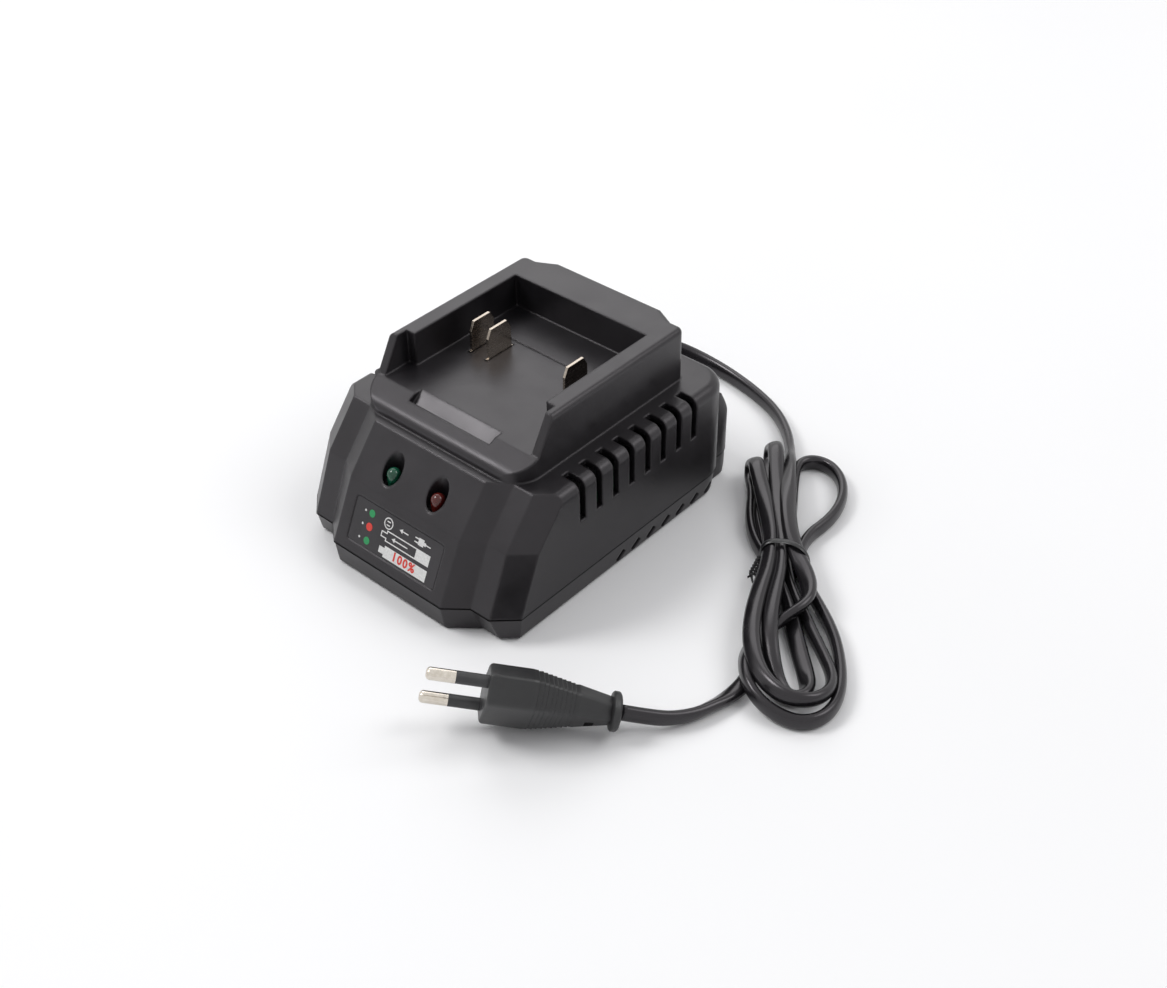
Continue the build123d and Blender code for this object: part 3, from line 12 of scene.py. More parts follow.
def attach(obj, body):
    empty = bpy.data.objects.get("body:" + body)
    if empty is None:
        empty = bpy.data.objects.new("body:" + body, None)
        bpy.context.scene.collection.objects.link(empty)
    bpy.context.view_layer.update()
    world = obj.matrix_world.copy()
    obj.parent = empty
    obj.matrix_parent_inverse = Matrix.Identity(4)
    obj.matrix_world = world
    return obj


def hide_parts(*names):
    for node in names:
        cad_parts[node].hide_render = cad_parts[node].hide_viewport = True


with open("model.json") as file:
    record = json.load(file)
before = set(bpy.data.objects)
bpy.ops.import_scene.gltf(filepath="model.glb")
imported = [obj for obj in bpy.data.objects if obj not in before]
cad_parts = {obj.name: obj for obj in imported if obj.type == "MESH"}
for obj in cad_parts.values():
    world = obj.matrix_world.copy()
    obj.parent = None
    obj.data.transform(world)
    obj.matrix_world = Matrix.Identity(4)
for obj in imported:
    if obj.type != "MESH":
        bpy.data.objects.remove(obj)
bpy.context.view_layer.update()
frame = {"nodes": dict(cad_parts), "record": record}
MM = 0.001


# ---- Camera ----

CAMERA_PLACE = (318.5, -320.6, 369.8)       # mm
CAMERA_AZIMUTH = 41.99                      # degrees
CAMERA_ELEVATION = 39.09
CAMERA_ROLL = -0.958
CAMERA_LENS = 49.36                         # mm
CAMERA_SENSOR = 36.0                        # its width in mm
CAMERA_NEAR = 0.01                          # m


def add_camera():
    azimuth = math.radians(CAMERA_AZIMUTH)
    elevation = math.radians(CAMERA_ELEVATION)
    roll = math.radians(CAMERA_ROLL)
    back = Vector(
        (
            math.sin(azimuth) * math.cos(elevation),
            -math.cos(azimuth) * math.cos(elevation),
            math.sin(elevation),
        )
    )
    level = (-back).cross(Vector((0, 0, 1))).normalized()
    upright = level.cross(-back)
    right = math.cos(roll) * level + math.sin(roll) * upright
    up = math.cos(roll) * upright - math.sin(roll) * level
    data = bpy.data.cameras.new("camera")
    data.lens = CAMERA_LENS
    data.sensor_width = CAMERA_SENSOR
    data.clip_start = CAMERA_NEAR
    camera = bpy.data.objects.new("camera", data)
    turn = Matrix((right, up, back)).transposed().to_4x4()
    camera.matrix_world = Matrix.Translation(Vector(CAMERA_PLACE) * MM) @ turn
    bpy.context.scene.collection.objects.link(camera)
    bpy.context.scene.camera = camera


# ---- Route of the mains lead: x, y, z in mm, and the lean of the flat cord's width off upright ----

CORD_WIDTH = 5.9                            # mm
CORD_THICKNESS = 3.7
CORD_STEPS = 7                              # of the smooth line, to each control point
CORD_SIDES = 20                             # of its section
CORD_FULLNESS = 2.3                         # 2 is an ellipse, more is fuller at the corners
BOOT_TIP = (-24.0, 87.0, 10.0)
PLUG_REAR = (99.0, -62.1, 7.9)
TIE_PLACE = (96.5, 27.0)
TIE_TURN = 38.0                             # direction across the hank, degrees from +X

LEAD = [
    (*BOOT_TIP, 90), (-24, 96, 10, 90), (-19.5, 104, 7.8, 80), (-11, 108.6, 5.4, 50), (0, 109.9, 3.9, 25),
    (12, 109.3, 3.1, 10), (26, 106.2, 3.0, 0), (40, 101, 3.0, 0), (52, 92, 3.4, 0), (60.6, 81.4, 4.6, 10),
]
# The strands of the hank are given across it, along it from the tie towards the charger's back, and up.
OVER_HANK = [
    (4.4, 54, 8.8, 45), (3.2, 43, 10.4, 80), (2.5, 31, 11.4, 105), (2.3, 19, 11.6, 110), (3.1, 8.5, 11.0, 95),
    (5.0, -0.5, 9.9, 70),
]
WRAP = [
    (7.2, -7.2, 9.4, 62), (8.0, -13.0, 9.2, 50), (7.4, -18.4, 8.9, 38), (4.9, -22.4, 8.3, 28),
    (1.4, -25.0, 7.3, 25), (-2.6, -27.6, 5.6, 45), (-6.6, -30.6, 4.2, 70), (-10.0, -34.4, 3.7, 60),
    (-12.6, -38.8, 3.8, 35),
]
OUTER_LOOP = [
    (-14.0, -44.2, 5.0, 10), (-14.1, -50.6, 6.2, 0), (-12.8, -56.8, 5.8, 0), (-9.4, -62.2, 4.6, 0),
    (-4.2, -66.4, 3.4, 0), (1.8, -69.0, 3.0, 0), (7.6, -68.2, 3.0, 0), (12.4, -64.2, 3.0, 0),
    (15.4, -58.0, 3.0, 0), (16.8, -50.4, 3.0, 0), (16.9, -42.0, 3.0, 0), (16.2, -33.4, 3.0, 0),
    (14.4, -25.0, 3.0, 0), (11.8, -17.0, 3.0, 0), (9.0, -9.0, 3.0, 0), (6.6, -1.2, 3.0, 0),
]
SIDE_LOOP = [
    (5.8, 6.8, 3.0, 0), (7.4, 14.4, 3.0, 0), (10.6, 20.6, 3.0, 0), (14.6, 25.0, 3.0, 0),
    (18.4, 30.0, 3.0, 0), (21.4, 35.8, 3.0, 0), (23.3, 42.4, 3.0, 0), (23.6, 49.4, 3.0, 0),
    (22.0, 55.8, 3.0, 0), (18.6, 60.6, 3.0, 0), (13.8, 62.6, 3.0, 0), (9.2, 61.2, 3.0, 20),
    (6.2, 56.8, 2.8, 50), (5.0, 50.2, 2.2, 80), (4.3, 41.5, 2.0, 80), (3.6, 32.5, 2.2, 60),
    (2.9, 23.0, 2.8, 30), (2.1, 13.5, 3.0, 0), (1.6, 4.5, 3.0, 0),
]
MIDDLE_LOOP = [
    (2.3, -4.5, 3.0, 0), (3.9, -12.5, 3.0, 0), (6.1, -20.0, 3.0, 0), (8.2, -27.4, 3.0, 0),
    (10.4, -35.0, 3.0, 0), (12.5, -42.6, 3.3, 0), (13.7, -49.6, 4.1, 5), (13.0, -56.0, 5.4, 10),
    (10.0, -61.2, 6.8, 15), (5.0, -64.2, 7.8, 20), (-0.6, -63.8, 8.3, 28), (-5.8, -60.0, 8.6, 38),
    (-9.4, -54.0, 8.9, 50), (-11.3, -46.6, 9.3, 62), (-11.9, -38.6, 9.5, 70), (-11.4, -30.6, 9.6, 74),
    (-10.1, -22.4, 9.6, 72), (-8.3, -14.2, 9.5, 66), (-6.2, -6.0, 9.4, 58), (-4.8, 2.4, 9.3, 50),
]
LEFT_FOLD = [
    (-4.1, 11.8, 9.3, 48), (-4.6, 20.4, 9.4, 58), (-5.4, 29.0, 9.6, 70), (-6.2, 36.0, 9.8, 80),
    (-7.0, 42.0, 10.1, 86), (-7.7, 48.0, 10.3, 84), (-8.1, 52.4, 9.9, 76), (-8.6, 55.0, 8.2, 68),
    (-9.0, 55.4, 5.6, 66), (-9.1, 53.2, 3.6, 80), (-8.9, 49.2, 3.0, 105), (-8.9, 44.0, 3.2, 140),
    (-9.5, 38.0, 3.5, 165), (-10.3, 31.5, 3.7, 175), (-10.4, 24.5, 3.4, 180), (-9.2, 17.0, 3.0, 180),
    (-6.6, 9.5, 3.0, 180), (-3.4, 2.5, 3.0, 180),
]
INNER_LOOP = [
    (-1.2, -5.5, 3.0, 185), (0.6, -14.0, 3.0, 200), (2.0, -22.6, 2.9, 220), (3.2, -31.6, 2.6, 240),
    (4.5, -40.0, 2.3, 252), (5.7, -47.4, 2.3, 252), (6.1, -53.2, 2.7, 230), (4.9, -57.4, 3.0, 205),
    (1.9, -59.0, 3.1, 190), (-1.2, -57.6, 3.1, 200), (-3.2, -53.6, 3.1, 225), (-4.5, -48.4, 4.1, 244),
    (-5.4, -42.4, 5.9, 252), (-5.9, -35.6, 7.8, 250), (-5.6, -28.6, 8.9, 250), (-4.6, -21.4, 9.3, 250),
    (-3.3, -14.0, 9.4, 244), (-2.0, -6.8, 9.4, 236), (-1.3, 0.6, 9.3, 230), (-1.1, 8.0, 9.1, 232),
]
MIDDLE_FOLD = [
    (-1.1, 16.4, 8.9, 240), (-1.1, 26.2, 8.7, 248), (-0.9, 36.0, 8.8, 256), (-0.8, 46.0, 9.4, 264),
    (-0.6, 55.0, 10.1, 268), (-0.7, 60.6, 10.3, 262), (-1.1, 64.0, 9.0, 252), (-1.6, 65.2, 6.4, 246),
    (-1.9, 63.8, 3.8, 248), (-2.0, 60.4, 2.4, 258), (-2.2, 55.2, 2.0, 268), (-3.0, 49.0, 2.0, 270),
    (-4.4, 42.8, 2.0, 270), (-5.8, 37.2, 2.0, 275), (-6.6, 31.0, 2.5, 290), (-6.8, 24.0, 3.0, 325),
    (-6.4, 16.4, 3.0, 350), (-5.8, 9.2, 3.0, 360), (-5.4, 1.8, 3.0, 360),
]
UNDER_HANK = [
    (-5.7, -6.5, 3.0, 370), (-7.0, -15.0, 2.6, 400), (-8.2, -23.0, 2.1, 435), (-9.2, -30.5, 2.0, 450),
    (-9.8, -37.8, 2.0, 450), (-10.8, -44.8, 2.0, 450), (-13.2, -51.0, 2.0, 450), (-16.8, -56.0, 2.1, 446),
    (-20.4, -59.6, 2.3, 436),
]
TAIL = [
    (116.2, -37.0, 2.7, 425), (114.4, -44.4, 3.1, 408), (110.3, -51.6, 4.2, 395), (104.9, -57.0, 6.0, 388),
    (*PLUG_REAR, 385),
]


def across_hank():
    """Direction across the hank."""
    turn = math.radians(TIE_TURN)
    return Vector((math.cos(turn), math.sin(turn), 0))


def along_hank():
    """Direction along the hank, towards the charger's back."""
    side = across_hank()
    return Vector((-side.y, side.x, 0))


def hank_point(across, along, height):
    """A point of the hank, in mm, from its place beside the tie."""
    return Vector((*TIE_PLACE, height)) + across_hank() * across + along_hank() * along


def cord_route():
    """Control points of the whole lead in mm, each with its lean in degrees."""
    strands = OVER_HANK + WRAP + OUTER_LOOP + SIDE_LOOP + MIDDLE_LOOP + LEFT_FOLD
    strands += INNER_LOOP + MIDDLE_FOLD + UNDER_HANK
    route = [(Vector(place), lean) for *place, lean in LEAD]
    route += [(hank_point(*place), lean) for *place, lean in strands]
    return route + [(Vector(place), lean) for *place, lean in TAIL]


def spline_points(name, points, resolution):
    """Points of the smooth NURBS line that has these control points, in metres."""
    curve = bpy.data.curves.new(name, "CURVE")
    curve.dimensions = "3D"
    spline = curve.splines.new("NURBS")
    spline.points.add(len(points) - 1)
    for target, point in zip(spline.points, points):
        target.co = (*(Vector(point) * MM), 1)
    spline.order_u = 3
    spline.use_endpoint_u = True
    spline.resolution_u = resolution
    line = bpy.data.objects.new(name, curve)
    mesh = bpy.data.meshes.new_from_object(line)
    found = [vertex.co.copy() for vertex in mesh.vertices]
    bpy.data.objects.remove(line)
    bpy.data.meshes.remove(mesh)
    bpy.data.curves.remove(curve)
    return found


def mixed(values, share):
    """A value between the entries of a list, share running from 0 to 1 over the whole list."""
    place = min(max(share, 0), 1) * (len(values) - 1)
    low = min(int(place), len(values) - 2)
    return values[low] + (values[low + 1] - values[low]) * (place - low)


def mesh_object(name, vertices, faces, material, smooth=True):
    mesh = bpy.data.meshes.new(name)
    mesh.from_pydata([tuple(v) for v in vertices], [], faces)
    mesh.validate()
    mesh.update()
    for polygon in mesh.polygons:
        polygon.use_smooth = smooth
    piece = bpy.data.objects.new(name, mesh)
    bpy.context.scene.collection.objects.link(piece)
    if material:
        mesh.materials.append(material)
    return piece


def ring_faces(rings, count):
    """Faces between rings of points that follow each other, with this many points in each."""
    faces = []
    for ring in range(rings - 1):
        start = ring * count
        for k in range(count):
            n = (k + 1) % count
            faces.append((start + k, start + n, start + count + n, start + count + k))
    return faces


def ribbon(name, line, leans, section, material, sideways):
    """A tube of one section along a line.

    Its width leans off upright by the given angles, towards sideways.
    """
    vertices = []
    for index, point in enumerate(line):
        ahead = line[min(index + 1, len(line) - 1)] - line[max(index - 1, 0)]
        ahead.normalize()
        lean = math.radians(leans[index])
        wide = Vector((0, 0, math.cos(lean))) + sideways * math.sin(lean)
        wide -= ahead * wide.dot(ahead)
        wide.normalize()
        thin = ahead.cross(wide)
        vertices += [point + wide * (w * MM) + thin * (t * MM) for w, t in section]
    count = len(section)
    faces = ring_faces(len(line), count)
    faces.append(tuple(reversed(range(count))))
    faces.append(tuple(range(len(vertices) - count, len(vertices))))
    return mesh_object(name, vertices, faces, material)


def flat_oval(width, thickness, fullness, sides):
    """Outline of a flat sheathed cord: a rounded, slightly full oval."""
    outline = []
    for side in range(sides):
        angle = -math.tau * side / sides
        across, up = math.cos(angle), math.sin(angle)
        outline.append(
            (
                math.copysign(abs(across) ** (2 / fullness), across) * width / 2,
                math.copysign(abs(up) ** (2 / fullness), up) * thickness / 2,
            )
        )
    return outline


def add_cord(material):
    route = cord_route()
    line = spline_points("mains_lead_line", [point for point, _ in route], CORD_STEPS)
    leans = [lean for _, lean in route]
    spread = [mixed(leans, index / (len(line) - 1)) for index in range(len(line))]
    section = flat_oval(CORD_WIDTH, CORD_THICKNESS, CORD_FULLNESS, CORD_SIDES)
    cord = ribbon("mains_lead", line, spread, section, material, across_hank())
    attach(cord, "root")
    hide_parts("cord_lead", "cord_hank", "cord_tail")


# ---- Materials ----

BLACK = (0.012, 0.012, 0.013)
SOFT_BLACK = (0.020, 0.019, 0.021)
VIOLET = (1.0, 0.955, 1.0)                  # the gloss of the black mouldings
PLASTIC_CLOUDS = 90.0                       # soft clouds of tone, in waves per metre
PLASTIC_SPREAD = 0.04                       # of roughness, to each side
METAL_MARKS = 900.0
METAL_SPREAD = (-0.05, 0.07)
LENS_CLOUDS = 420.0
LENS_ROUGHNESS = (0.10, 0.18)
LENS_IOR = 1.49
WIRE_TURNS = 320.0
WIRE_WOBBLE = 0.6
WIRE_DEPTH = 0.12                           # mm
BEVEL_SAMPLES = 6

# Dark and light tone, roughness, grain in waves per metre and its depth in mm, rounding of the edges in mm,
# specular level and its tint.
PLASTICS = {
    "black_shell": ((0.0088, 0.0080, 0.0092), (0.0124, 0.0114, 0.0130), 0.34, 1500, 0.022, 1.2, 0.46, VIOLET),
    "cord_black": ((0.0088, 0.0082, 0.0094), (0.0124, 0.0116, 0.0132), 0.24, 700, 0.012, 0.0, 0.5, VIOLET),
    "label_black": (BLACK, SOFT_BLACK, 0.34, 3000, 0.004, 0.0, 0.5, VIOLET),
    # The seam strip's material: near black without gloss, painted shadow of the gap between the shells.
    "seam_black": ((0.001, 0.001, 0.001), (0.002, 0.002, 0.002), 0.9, 1500, 0.0, 0.0, 0.0),
    "plug_black": ((0.016, 0.016, 0.017), (0.022, 0.022, 0.023), 0.42, 1700, 0.016, 0.5),
    "tie_black": (BLACK, (0.022, 0.021, 0.023), 0.32, 900, 0.01),
    "sleeve_black": ((0.022, 0.022, 0.024), (0.034, 0.034, 0.036), 0.38, 1200, 0.012),
    "rubber_black": ((0.014, 0.014, 0.014), (0.022, 0.022, 0.022), 0.78, 1500, 0.03),
    "label_grey": ((0.30, 0.30, 0.31), (0.36, 0.36, 0.37), 0.42, 3000, 0.004),
    "block_plastic": ((0.016, 0.016, 0.017), (0.024, 0.024, 0.026), 0.45, 1800, 0.015, 0.3),
    "bobbin_plastic": ((0.035, 0.033, 0.030), (0.050, 0.047, 0.043), 0.48, 1300, 0.02),
    "capacitor_yellow": ((0.62, 0.38, 0.03), (0.70, 0.45, 0.05), 0.38, 900, 0.02, 0.4),
    "capacitor_blue": ((0.03, 0.13, 0.42), (0.05, 0.18, 0.50), 0.35, 700, 0.03, 0.5),
    "can_black": ((0.010, 0.011, 0.016), (0.018, 0.019, 0.026), 0.26, 700, 0.01),
    "ferrite_black": ((0.030, 0.030, 0.033), (0.055, 0.055, 0.060), 0.55, 1400, 0.03, 0.3),
    "package_black": (BLACK, (0.026, 0.026, 0.028), 0.5, 2000, 0.012, 0.2),
    "package_white": ((0.66, 0.66, 0.63), (0.74, 0.74, 0.70), 0.5, 1600, 0.012, 0.2),
    "wire_black": (BLACK, SOFT_BLACK, 0.36, 800, 0.01),
    "wire_white": ((0.62, 0.62, 0.60), (0.70, 0.70, 0.68), 0.38, 800, 0.01),
    "wire_red": ((0.36, 0.02, 0.015), (0.46, 0.03, 0.02), 0.36, 800, 0.01),
    "wire_brown": ((0.12, 0.05, 0.022), (0.17, 0.07, 0.03), 0.38, 800, 0.01),
    "wire_blue": ((0.02, 0.11, 0.38), (0.03, 0.15, 0.46), 0.38, 800, 0.01),
}
# Dark and light tone, roughness, stretch of the marks along each axis, their depth in mm, rounding of the
# edges in mm.
METALS = {
    "screw_steel": ((0.30, 0.29, 0.27), (0.50, 0.48, 0.45), 0.34),
    "heatsink_aluminium": ((0.52, 0.53, 0.54), (0.72, 0.73, 0.74), 0.38, (1, 1, 0.06)),
    "blade_nickel": ((0.36, 0.31, 0.26), (0.43, 0.38, 0.33), 0.24, (0.3, 0.3, 1), 0.0006, 0.15),
    "pin_nickel": ((0.62, 0.57, 0.50), (0.70, 0.65, 0.58), 0.14, (1, 1, 1), 0.0004),
}
# Dark and light tone, and how clear.
LENSES = {
    "lamp_green": ((0.003, 0.055, 0.028), (0.007, 0.090, 0.048), 0.08),
    "lamp_red": ((0.060, 0.005, 0.004), (0.105, 0.010, 0.007), 0.08),
    "fuse_glass": ((0.62, 0.66, 0.64), (0.82, 0.85, 0.83), 0.7),
}
# Dark and light tone, axis across the turns, roughness and metal share.
WINDINGS = {
    "copper": ((0.30, 0.10, 0.03), (0.80, 0.36, 0.15), "Z", 0.32, 0.9),
    "tape_yellow": ((0.62, 0.44, 0.04), (0.80, 0.62, 0.10), "Z", 0.36, 0.0),
}
# The circuit board: two tones of its solder mask, its darker tracks, and the cloth under them.
BOARD_TONES = ((0.012, 0.13, 0.05), (0.016, 0.16, 0.06))
BOARD_TRACKS = (0.006, 0.07, 0.03)
BOARD_SCALE = 60.0
BOARD_TRACK_WIDTH = 0.035
BOARD_WEAVE = 2600.0
BOARD_ROUGHNESS = (0.28, 0.4)
BOARD_WEAVE_DEPTH = 0.02                    # mm


def node_material(name):
    material = bpy.data.materials.new(name)
    material.use_nodes = True
    return material, material.node_tree, material.node_tree.nodes["Principled BSDF"]


def noise(tree, scale, detail=2.0, rough=0.5):
    """Object-space noise; scale is in waves per metre."""
    coordinates = tree.nodes.new("ShaderNodeTexCoord")
    texture = tree.nodes.new("ShaderNodeTexNoise")
    texture.inputs["Scale"].default_value = scale
    texture.inputs["Detail"].default_value = detail
    texture.inputs["Roughness"].default_value = rough
    tree.links.new(coordinates.outputs["Object"], texture.inputs["Vector"])
    return texture.outputs["Fac"]


def ranged(tree, source, low, high, start=0.3, end=0.7):
    span = tree.nodes.new("ShaderNodeMapRange")
    span.inputs["From Min"].default_value = start
    span.inputs["From Max"].default_value = end
    span.inputs["To Min"].default_value = low
    span.inputs["To Max"].default_value = high
    tree.links.new(source, span.inputs["Value"])
    return span.outputs["Result"]


def two_tone(tree, source, dark, light, start=0.35, end=0.65):
    ramp = tree.nodes.new("ShaderNodeValToRGB")
    ramp.color_ramp.elements[0].position = start
    ramp.color_ramp.elements[1].position = end
    ramp.color_ramp.elements[0].color = (*dark, 1)
    ramp.color_ramp.elements[1].color = (*light, 1)
    tree.links.new(source, ramp.inputs["Fac"])
    return ramp.outputs["Color"]


def bumped(tree, shader, height, depth, round_edges=0.0):
    """Bump of a depth in mm, over edges rounded by a radius in mm."""
    bump = tree.nodes.new("ShaderNodeBump")
    bump.inputs["Strength"].default_value = 1.0
    bump.inputs["Distance"].default_value = depth * MM
    tree.links.new(height, bump.inputs["Height"])
    if round_edges:
        bevel = tree.nodes.new("ShaderNodeBevel")
        bevel.samples = BEVEL_SAMPLES
        bevel.inputs["Radius"].default_value = round_edges * MM
        tree.links.new(bevel.outputs["Normal"], bump.inputs["Normal"])
    tree.links.new(bump.outputs["Normal"], shader.inputs["Normal"])


def plastic(name, dark, light, rough, grain, depth, round_edges=0.0, specular=0.5, gloss=(1, 1, 1)):
    """Moulded plastic: two close tones in soft clouds, a grained surface and uneven gloss."""
    material, tree, shader = node_material(name)
    clouds = noise(tree, PLASTIC_CLOUDS, detail=3.0)
    fine = noise(tree, grain, detail=3.0, rough=0.6)
    spread = ranged(tree, clouds, rough - PLASTIC_SPREAD, rough + PLASTIC_SPREAD)
    tree.links.new(two_tone(tree, clouds, dark, light), shader.inputs["Base Color"])
    tree.links.new(spread, shader.inputs["Roughness"])
    shader.inputs["Specular IOR Level"].default_value = specular
    shader.inputs["Specular Tint"].default_value = (*gloss, 1)
    bumped(tree, shader, fine, depth, round_edges)
    return material


def metal(name, dark, light, rough, stretch=(1, 1, 1), depth=0.004, round_edges=0.0):
    """Plated or drawn metal with fine marks; stretch draws the marks out along an axis."""
    material, tree, shader = node_material(name)
    coordinates = tree.nodes.new("ShaderNodeTexCoord")
    mapping = tree.nodes.new("ShaderNodeMapping")
    mapping.inputs["Scale"].default_value = stretch
    texture = tree.nodes.new("ShaderNodeTexNoise")
    texture.inputs["Scale"].default_value = METAL_MARKS
    texture.inputs["Detail"].default_value = 3.0
    tree.links.new(coordinates.outputs["Object"], mapping.inputs["Vector"])
    tree.links.new(mapping.outputs["Vector"], texture.inputs["Vector"])
    marks = texture.outputs["Fac"]
    smoother, rougher = METAL_SPREAD
    spread = ranged(tree, marks, rough + smoother, rough + rougher)
    tree.links.new(two_tone(tree, marks, dark, light), shader.inputs["Base Color"])
    tree.links.new(spread, shader.inputs["Roughness"])
    shader.inputs["Metallic"].default_value = 1.0
    bumped(tree, shader, marks, depth, round_edges)
    return material


def lens_plastic(name, dark, light, clear):
    """Tinted clear plastic of a lamp, in a darker and a lighter tone in soft clouds."""
    material, tree, shader = node_material(name)
    clouds = noise(tree, LENS_CLOUDS, 2.0)
    tree.links.new(two_tone(tree, clouds, dark, light), shader.inputs["Base Color"])
    tree.links.new(ranged(tree, clouds, *LENS_ROUGHNESS), shader.inputs["Roughness"])
    shader.inputs["Transmission Weight"].default_value = clear
    shader.inputs["IOR"].default_value = LENS_IOR
    return material


def wound(name, dark, light, across, rough, metallic):
    """Turns of wire or tape: fine bands along one axis."""
    material, tree, shader = node_material(name)
    coordinates = tree.nodes.new("ShaderNodeTexCoord")
    bands = tree.nodes.new("ShaderNodeTexWave")
    bands.wave_type = "BANDS"
    bands.bands_direction = across
    bands.inputs["Scale"].default_value = WIRE_TURNS
    bands.inputs["Distortion"].default_value = WIRE_WOBBLE
    tree.links.new(coordinates.outputs["Object"], bands.inputs["Vector"])
    turns = bands.outputs["Fac"]
    tree.links.new(two_tone(tree, turns, dark, light, start=0.1, end=0.7), shader.inputs["Base Color"])
    shader.inputs["Roughness"].default_value = rough
    shader.inputs["Metallic"].default_value = metallic
    bumped(tree, shader, turns, WIRE_DEPTH)
    return material


def board_fibre(name):
    """Circuit board: green solder mask over a woven glass cloth, with darker tracks."""
    material, tree, shader = node_material(name)
    coordinates = tree.nodes.new("ShaderNodeTexCoord")
    tracks = tree.nodes.new("ShaderNodeTexBrick")
    tracks.inputs["Scale"].default_value = BOARD_SCALE
    tracks.inputs["Mortar Size"].default_value = BOARD_TRACK_WIDTH
    for socket, tone in zip(("Color1", "Color2", "Mortar"), (*BOARD_TONES, BOARD_TRACKS)):
        tracks.inputs[socket].default_value = (*tone, 1)
    tree.links.new(coordinates.outputs["Object"], tracks.inputs["Vector"])
    tree.links.new(tracks.outputs["Color"], shader.inputs["Base Color"])
    weave = noise(tree, BOARD_WEAVE, 1.0)
    tree.links.new(ranged(tree, weave, *BOARD_ROUGHNESS), shader.inputs["Roughness"])
    bumped(tree, shader, weave, BOARD_WEAVE_DEPTH)
    return material


def make_materials():
    """Every material by its name, which is its slot's name in the record too."""
    materials = {"board_green": board_fibre("board_green")}
    for maker, rows in ((plastic, PLASTICS), (metal, METALS), (lens_plastic, LENSES), (wound, WINDINGS)):
        for name, row in rows.items():
            materials[name] = maker(name, *row)
    return materials


def dress_cad_nodes(materials):
    """Every CAD node that stays gets the material of its slot in the record."""
    for part in frame["record"]["subparts"]:
        node = frame["nodes"][part["node"]]
        for index in range(max(1, len(node.data.materials))):
            if index < len(node.material_slots):
                node.material_slots[index].material = materials[part["material_slot"]]


# ---- Twist tie ----

TIE_BAND_WIDTH = 2.3                        # mm
TIE_BAND_THICKNESS = 0.55
# One side of the band's section, thickest over its wire: shares of half the width, and of the thickness.
TIE_BAND_SIDE = ((1.0, 0.0), (0.9, -0.22), (0.35, -0.3), (0.0, -0.75), (-0.35, -0.3), (-0.9, -0.22))
TIE_STEPS = 8                               # of its smooth line, to each control point
TIE_LEAN = 90                               # degrees off upright: the band lies flat on the strands
TIE_LOOP = [                                # across, along, up: once round the hank
    (-7.3, 4.6, 6.4), (-7.9, 5.6, 9.2), (-5.5, 6.3, 11.9), (-1.0, 5.6, 12.8), (3.4, 3.4, 13.8),
    (7.4, 1.0, 12.2), (9.0, 0.2, 8.0), (8.6, 0.4, 3.4), (6.8, 1.2, 0.7), (1.4, 2.6, 0.5),
    (-4.2, 3.8, 0.6), (-7.4, 4.2, 2.4), (-7.8, 3.6, 5.2),
]
TWIST_START = (-7.6, 3.0, 6.6)
TWIST_END = (-10.6, -4.4, 5.6)
TWIST_TURNS = 3.0
TWIST_RADIUS = 1.0
TWIST_STEPS = 40
TWIST_LINE_STEPS = 3
TWIST_NARROWING = (0.55, 0.9)               # the twisted ends' share of the band's width and thickness
TIE_ENDS = (((-10.8, -5.8, 5.2), (-10.2, -7.4, 4.6)), ((-11.6, -5.0, 5.8), (-12.0, -5.6, 5.6)))


def tie_section(narrowing=(1.0, 1.0)):
    """Section of the tie's band: two thin wings beside the wire in its middle."""
    half = TIE_BAND_WIDTH / 2 * narrowing[0]
    thin = TIE_BAND_THICKNESS * narrowing[1]
    side = [(half * wide, thin * thick) for wide, thick in TIE_BAND_SIDE]
    return side + [(-wide, -thick) for wide, thick in side]


def twisted_end(strand, ends):
    """Control points in mm of one of the two strands that are twisted round each other."""
    start = hank_point(*TWIST_START)
    run = hank_point(*TWIST_END) - start
    lift = run.cross(across_hank()).normalized()
    away = run.normalized().cross(lift)
    points = []
    for step in range(TWIST_STEPS + 1):
        share = step / TWIST_STEPS
        angle = math.tau * (TWIST_TURNS * share + strand / 2)
        out = lift * math.cos(angle) + away * math.sin(angle)
        points.append(start + run * share + out * TWIST_RADIUS)
    return points + [hank_point(*end) for end in ends]


def add_tie(material):
    """A band round the hank, its two ends twisted together beside it."""
    along = along_hank()
    loop = spline_points("tie_line", [hank_point(*point) for point in TIE_LOOP], TIE_STEPS)
    pieces = [ribbon("tie_band", loop, [TIE_LEAN] * len(loop), tie_section(), material, along)]
    narrow = tie_section(TWIST_NARROWING)
    for strand, ends in enumerate(TIE_ENDS):
        line = spline_points("tie_end_line", twisted_end(strand, ends), TWIST_LINE_STEPS)
        leans = [360 * TWIST_TURNS * index / len(line) for index in range(len(line))]
        pieces.append(ribbon(f"tie_end_{strand + 1}", line, leans, narrow, material, along))
    for piece in pieces:
        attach(piece, "root")
        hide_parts("twist_tie")
    return pieces


# ---- Strain relief ----

HOUSING_BACK = 67.0
BOOT_SIDES = 40                             # round its axis
BOOT_PROFILE = [                            # distance past the housing's back, radius
    (-10.0, 2.4), (-10.0, 5.9), (-9.7, 6.2), (-8.3, 6.2), (-8.0, 5.9), (-8.0, 4.6),
    (0.2, 4.6), (0.6, 5.3), (1.6, 5.4), (2.1, 5.0), (2.2, 4.5),
]
BOOT_RIBS = 6
BOOT_FIRST_RIB = 3.4
BOOT_RIB_PITCH = 2.75
BOOT_RIB_HALF = 0.85
BOOT_RIB_SLOPE = 0.15                       # of each rib's flanks
BOOT_RIB_EDGE = (0.25, 0.12)                # the rounding of its crest, along and down
BOOT_ROOT_RADII = (3.75, 2.9)               # at the housing and at the tip
BOOT_RIB_RADII = (4.6, 3.15)
BOOT_LENGTH = 20.0
BOOT_MOUTH = ((-0.5, 2.95), (0.0, 2.8), (0.0, 2.0))     # distance from its tip, radius
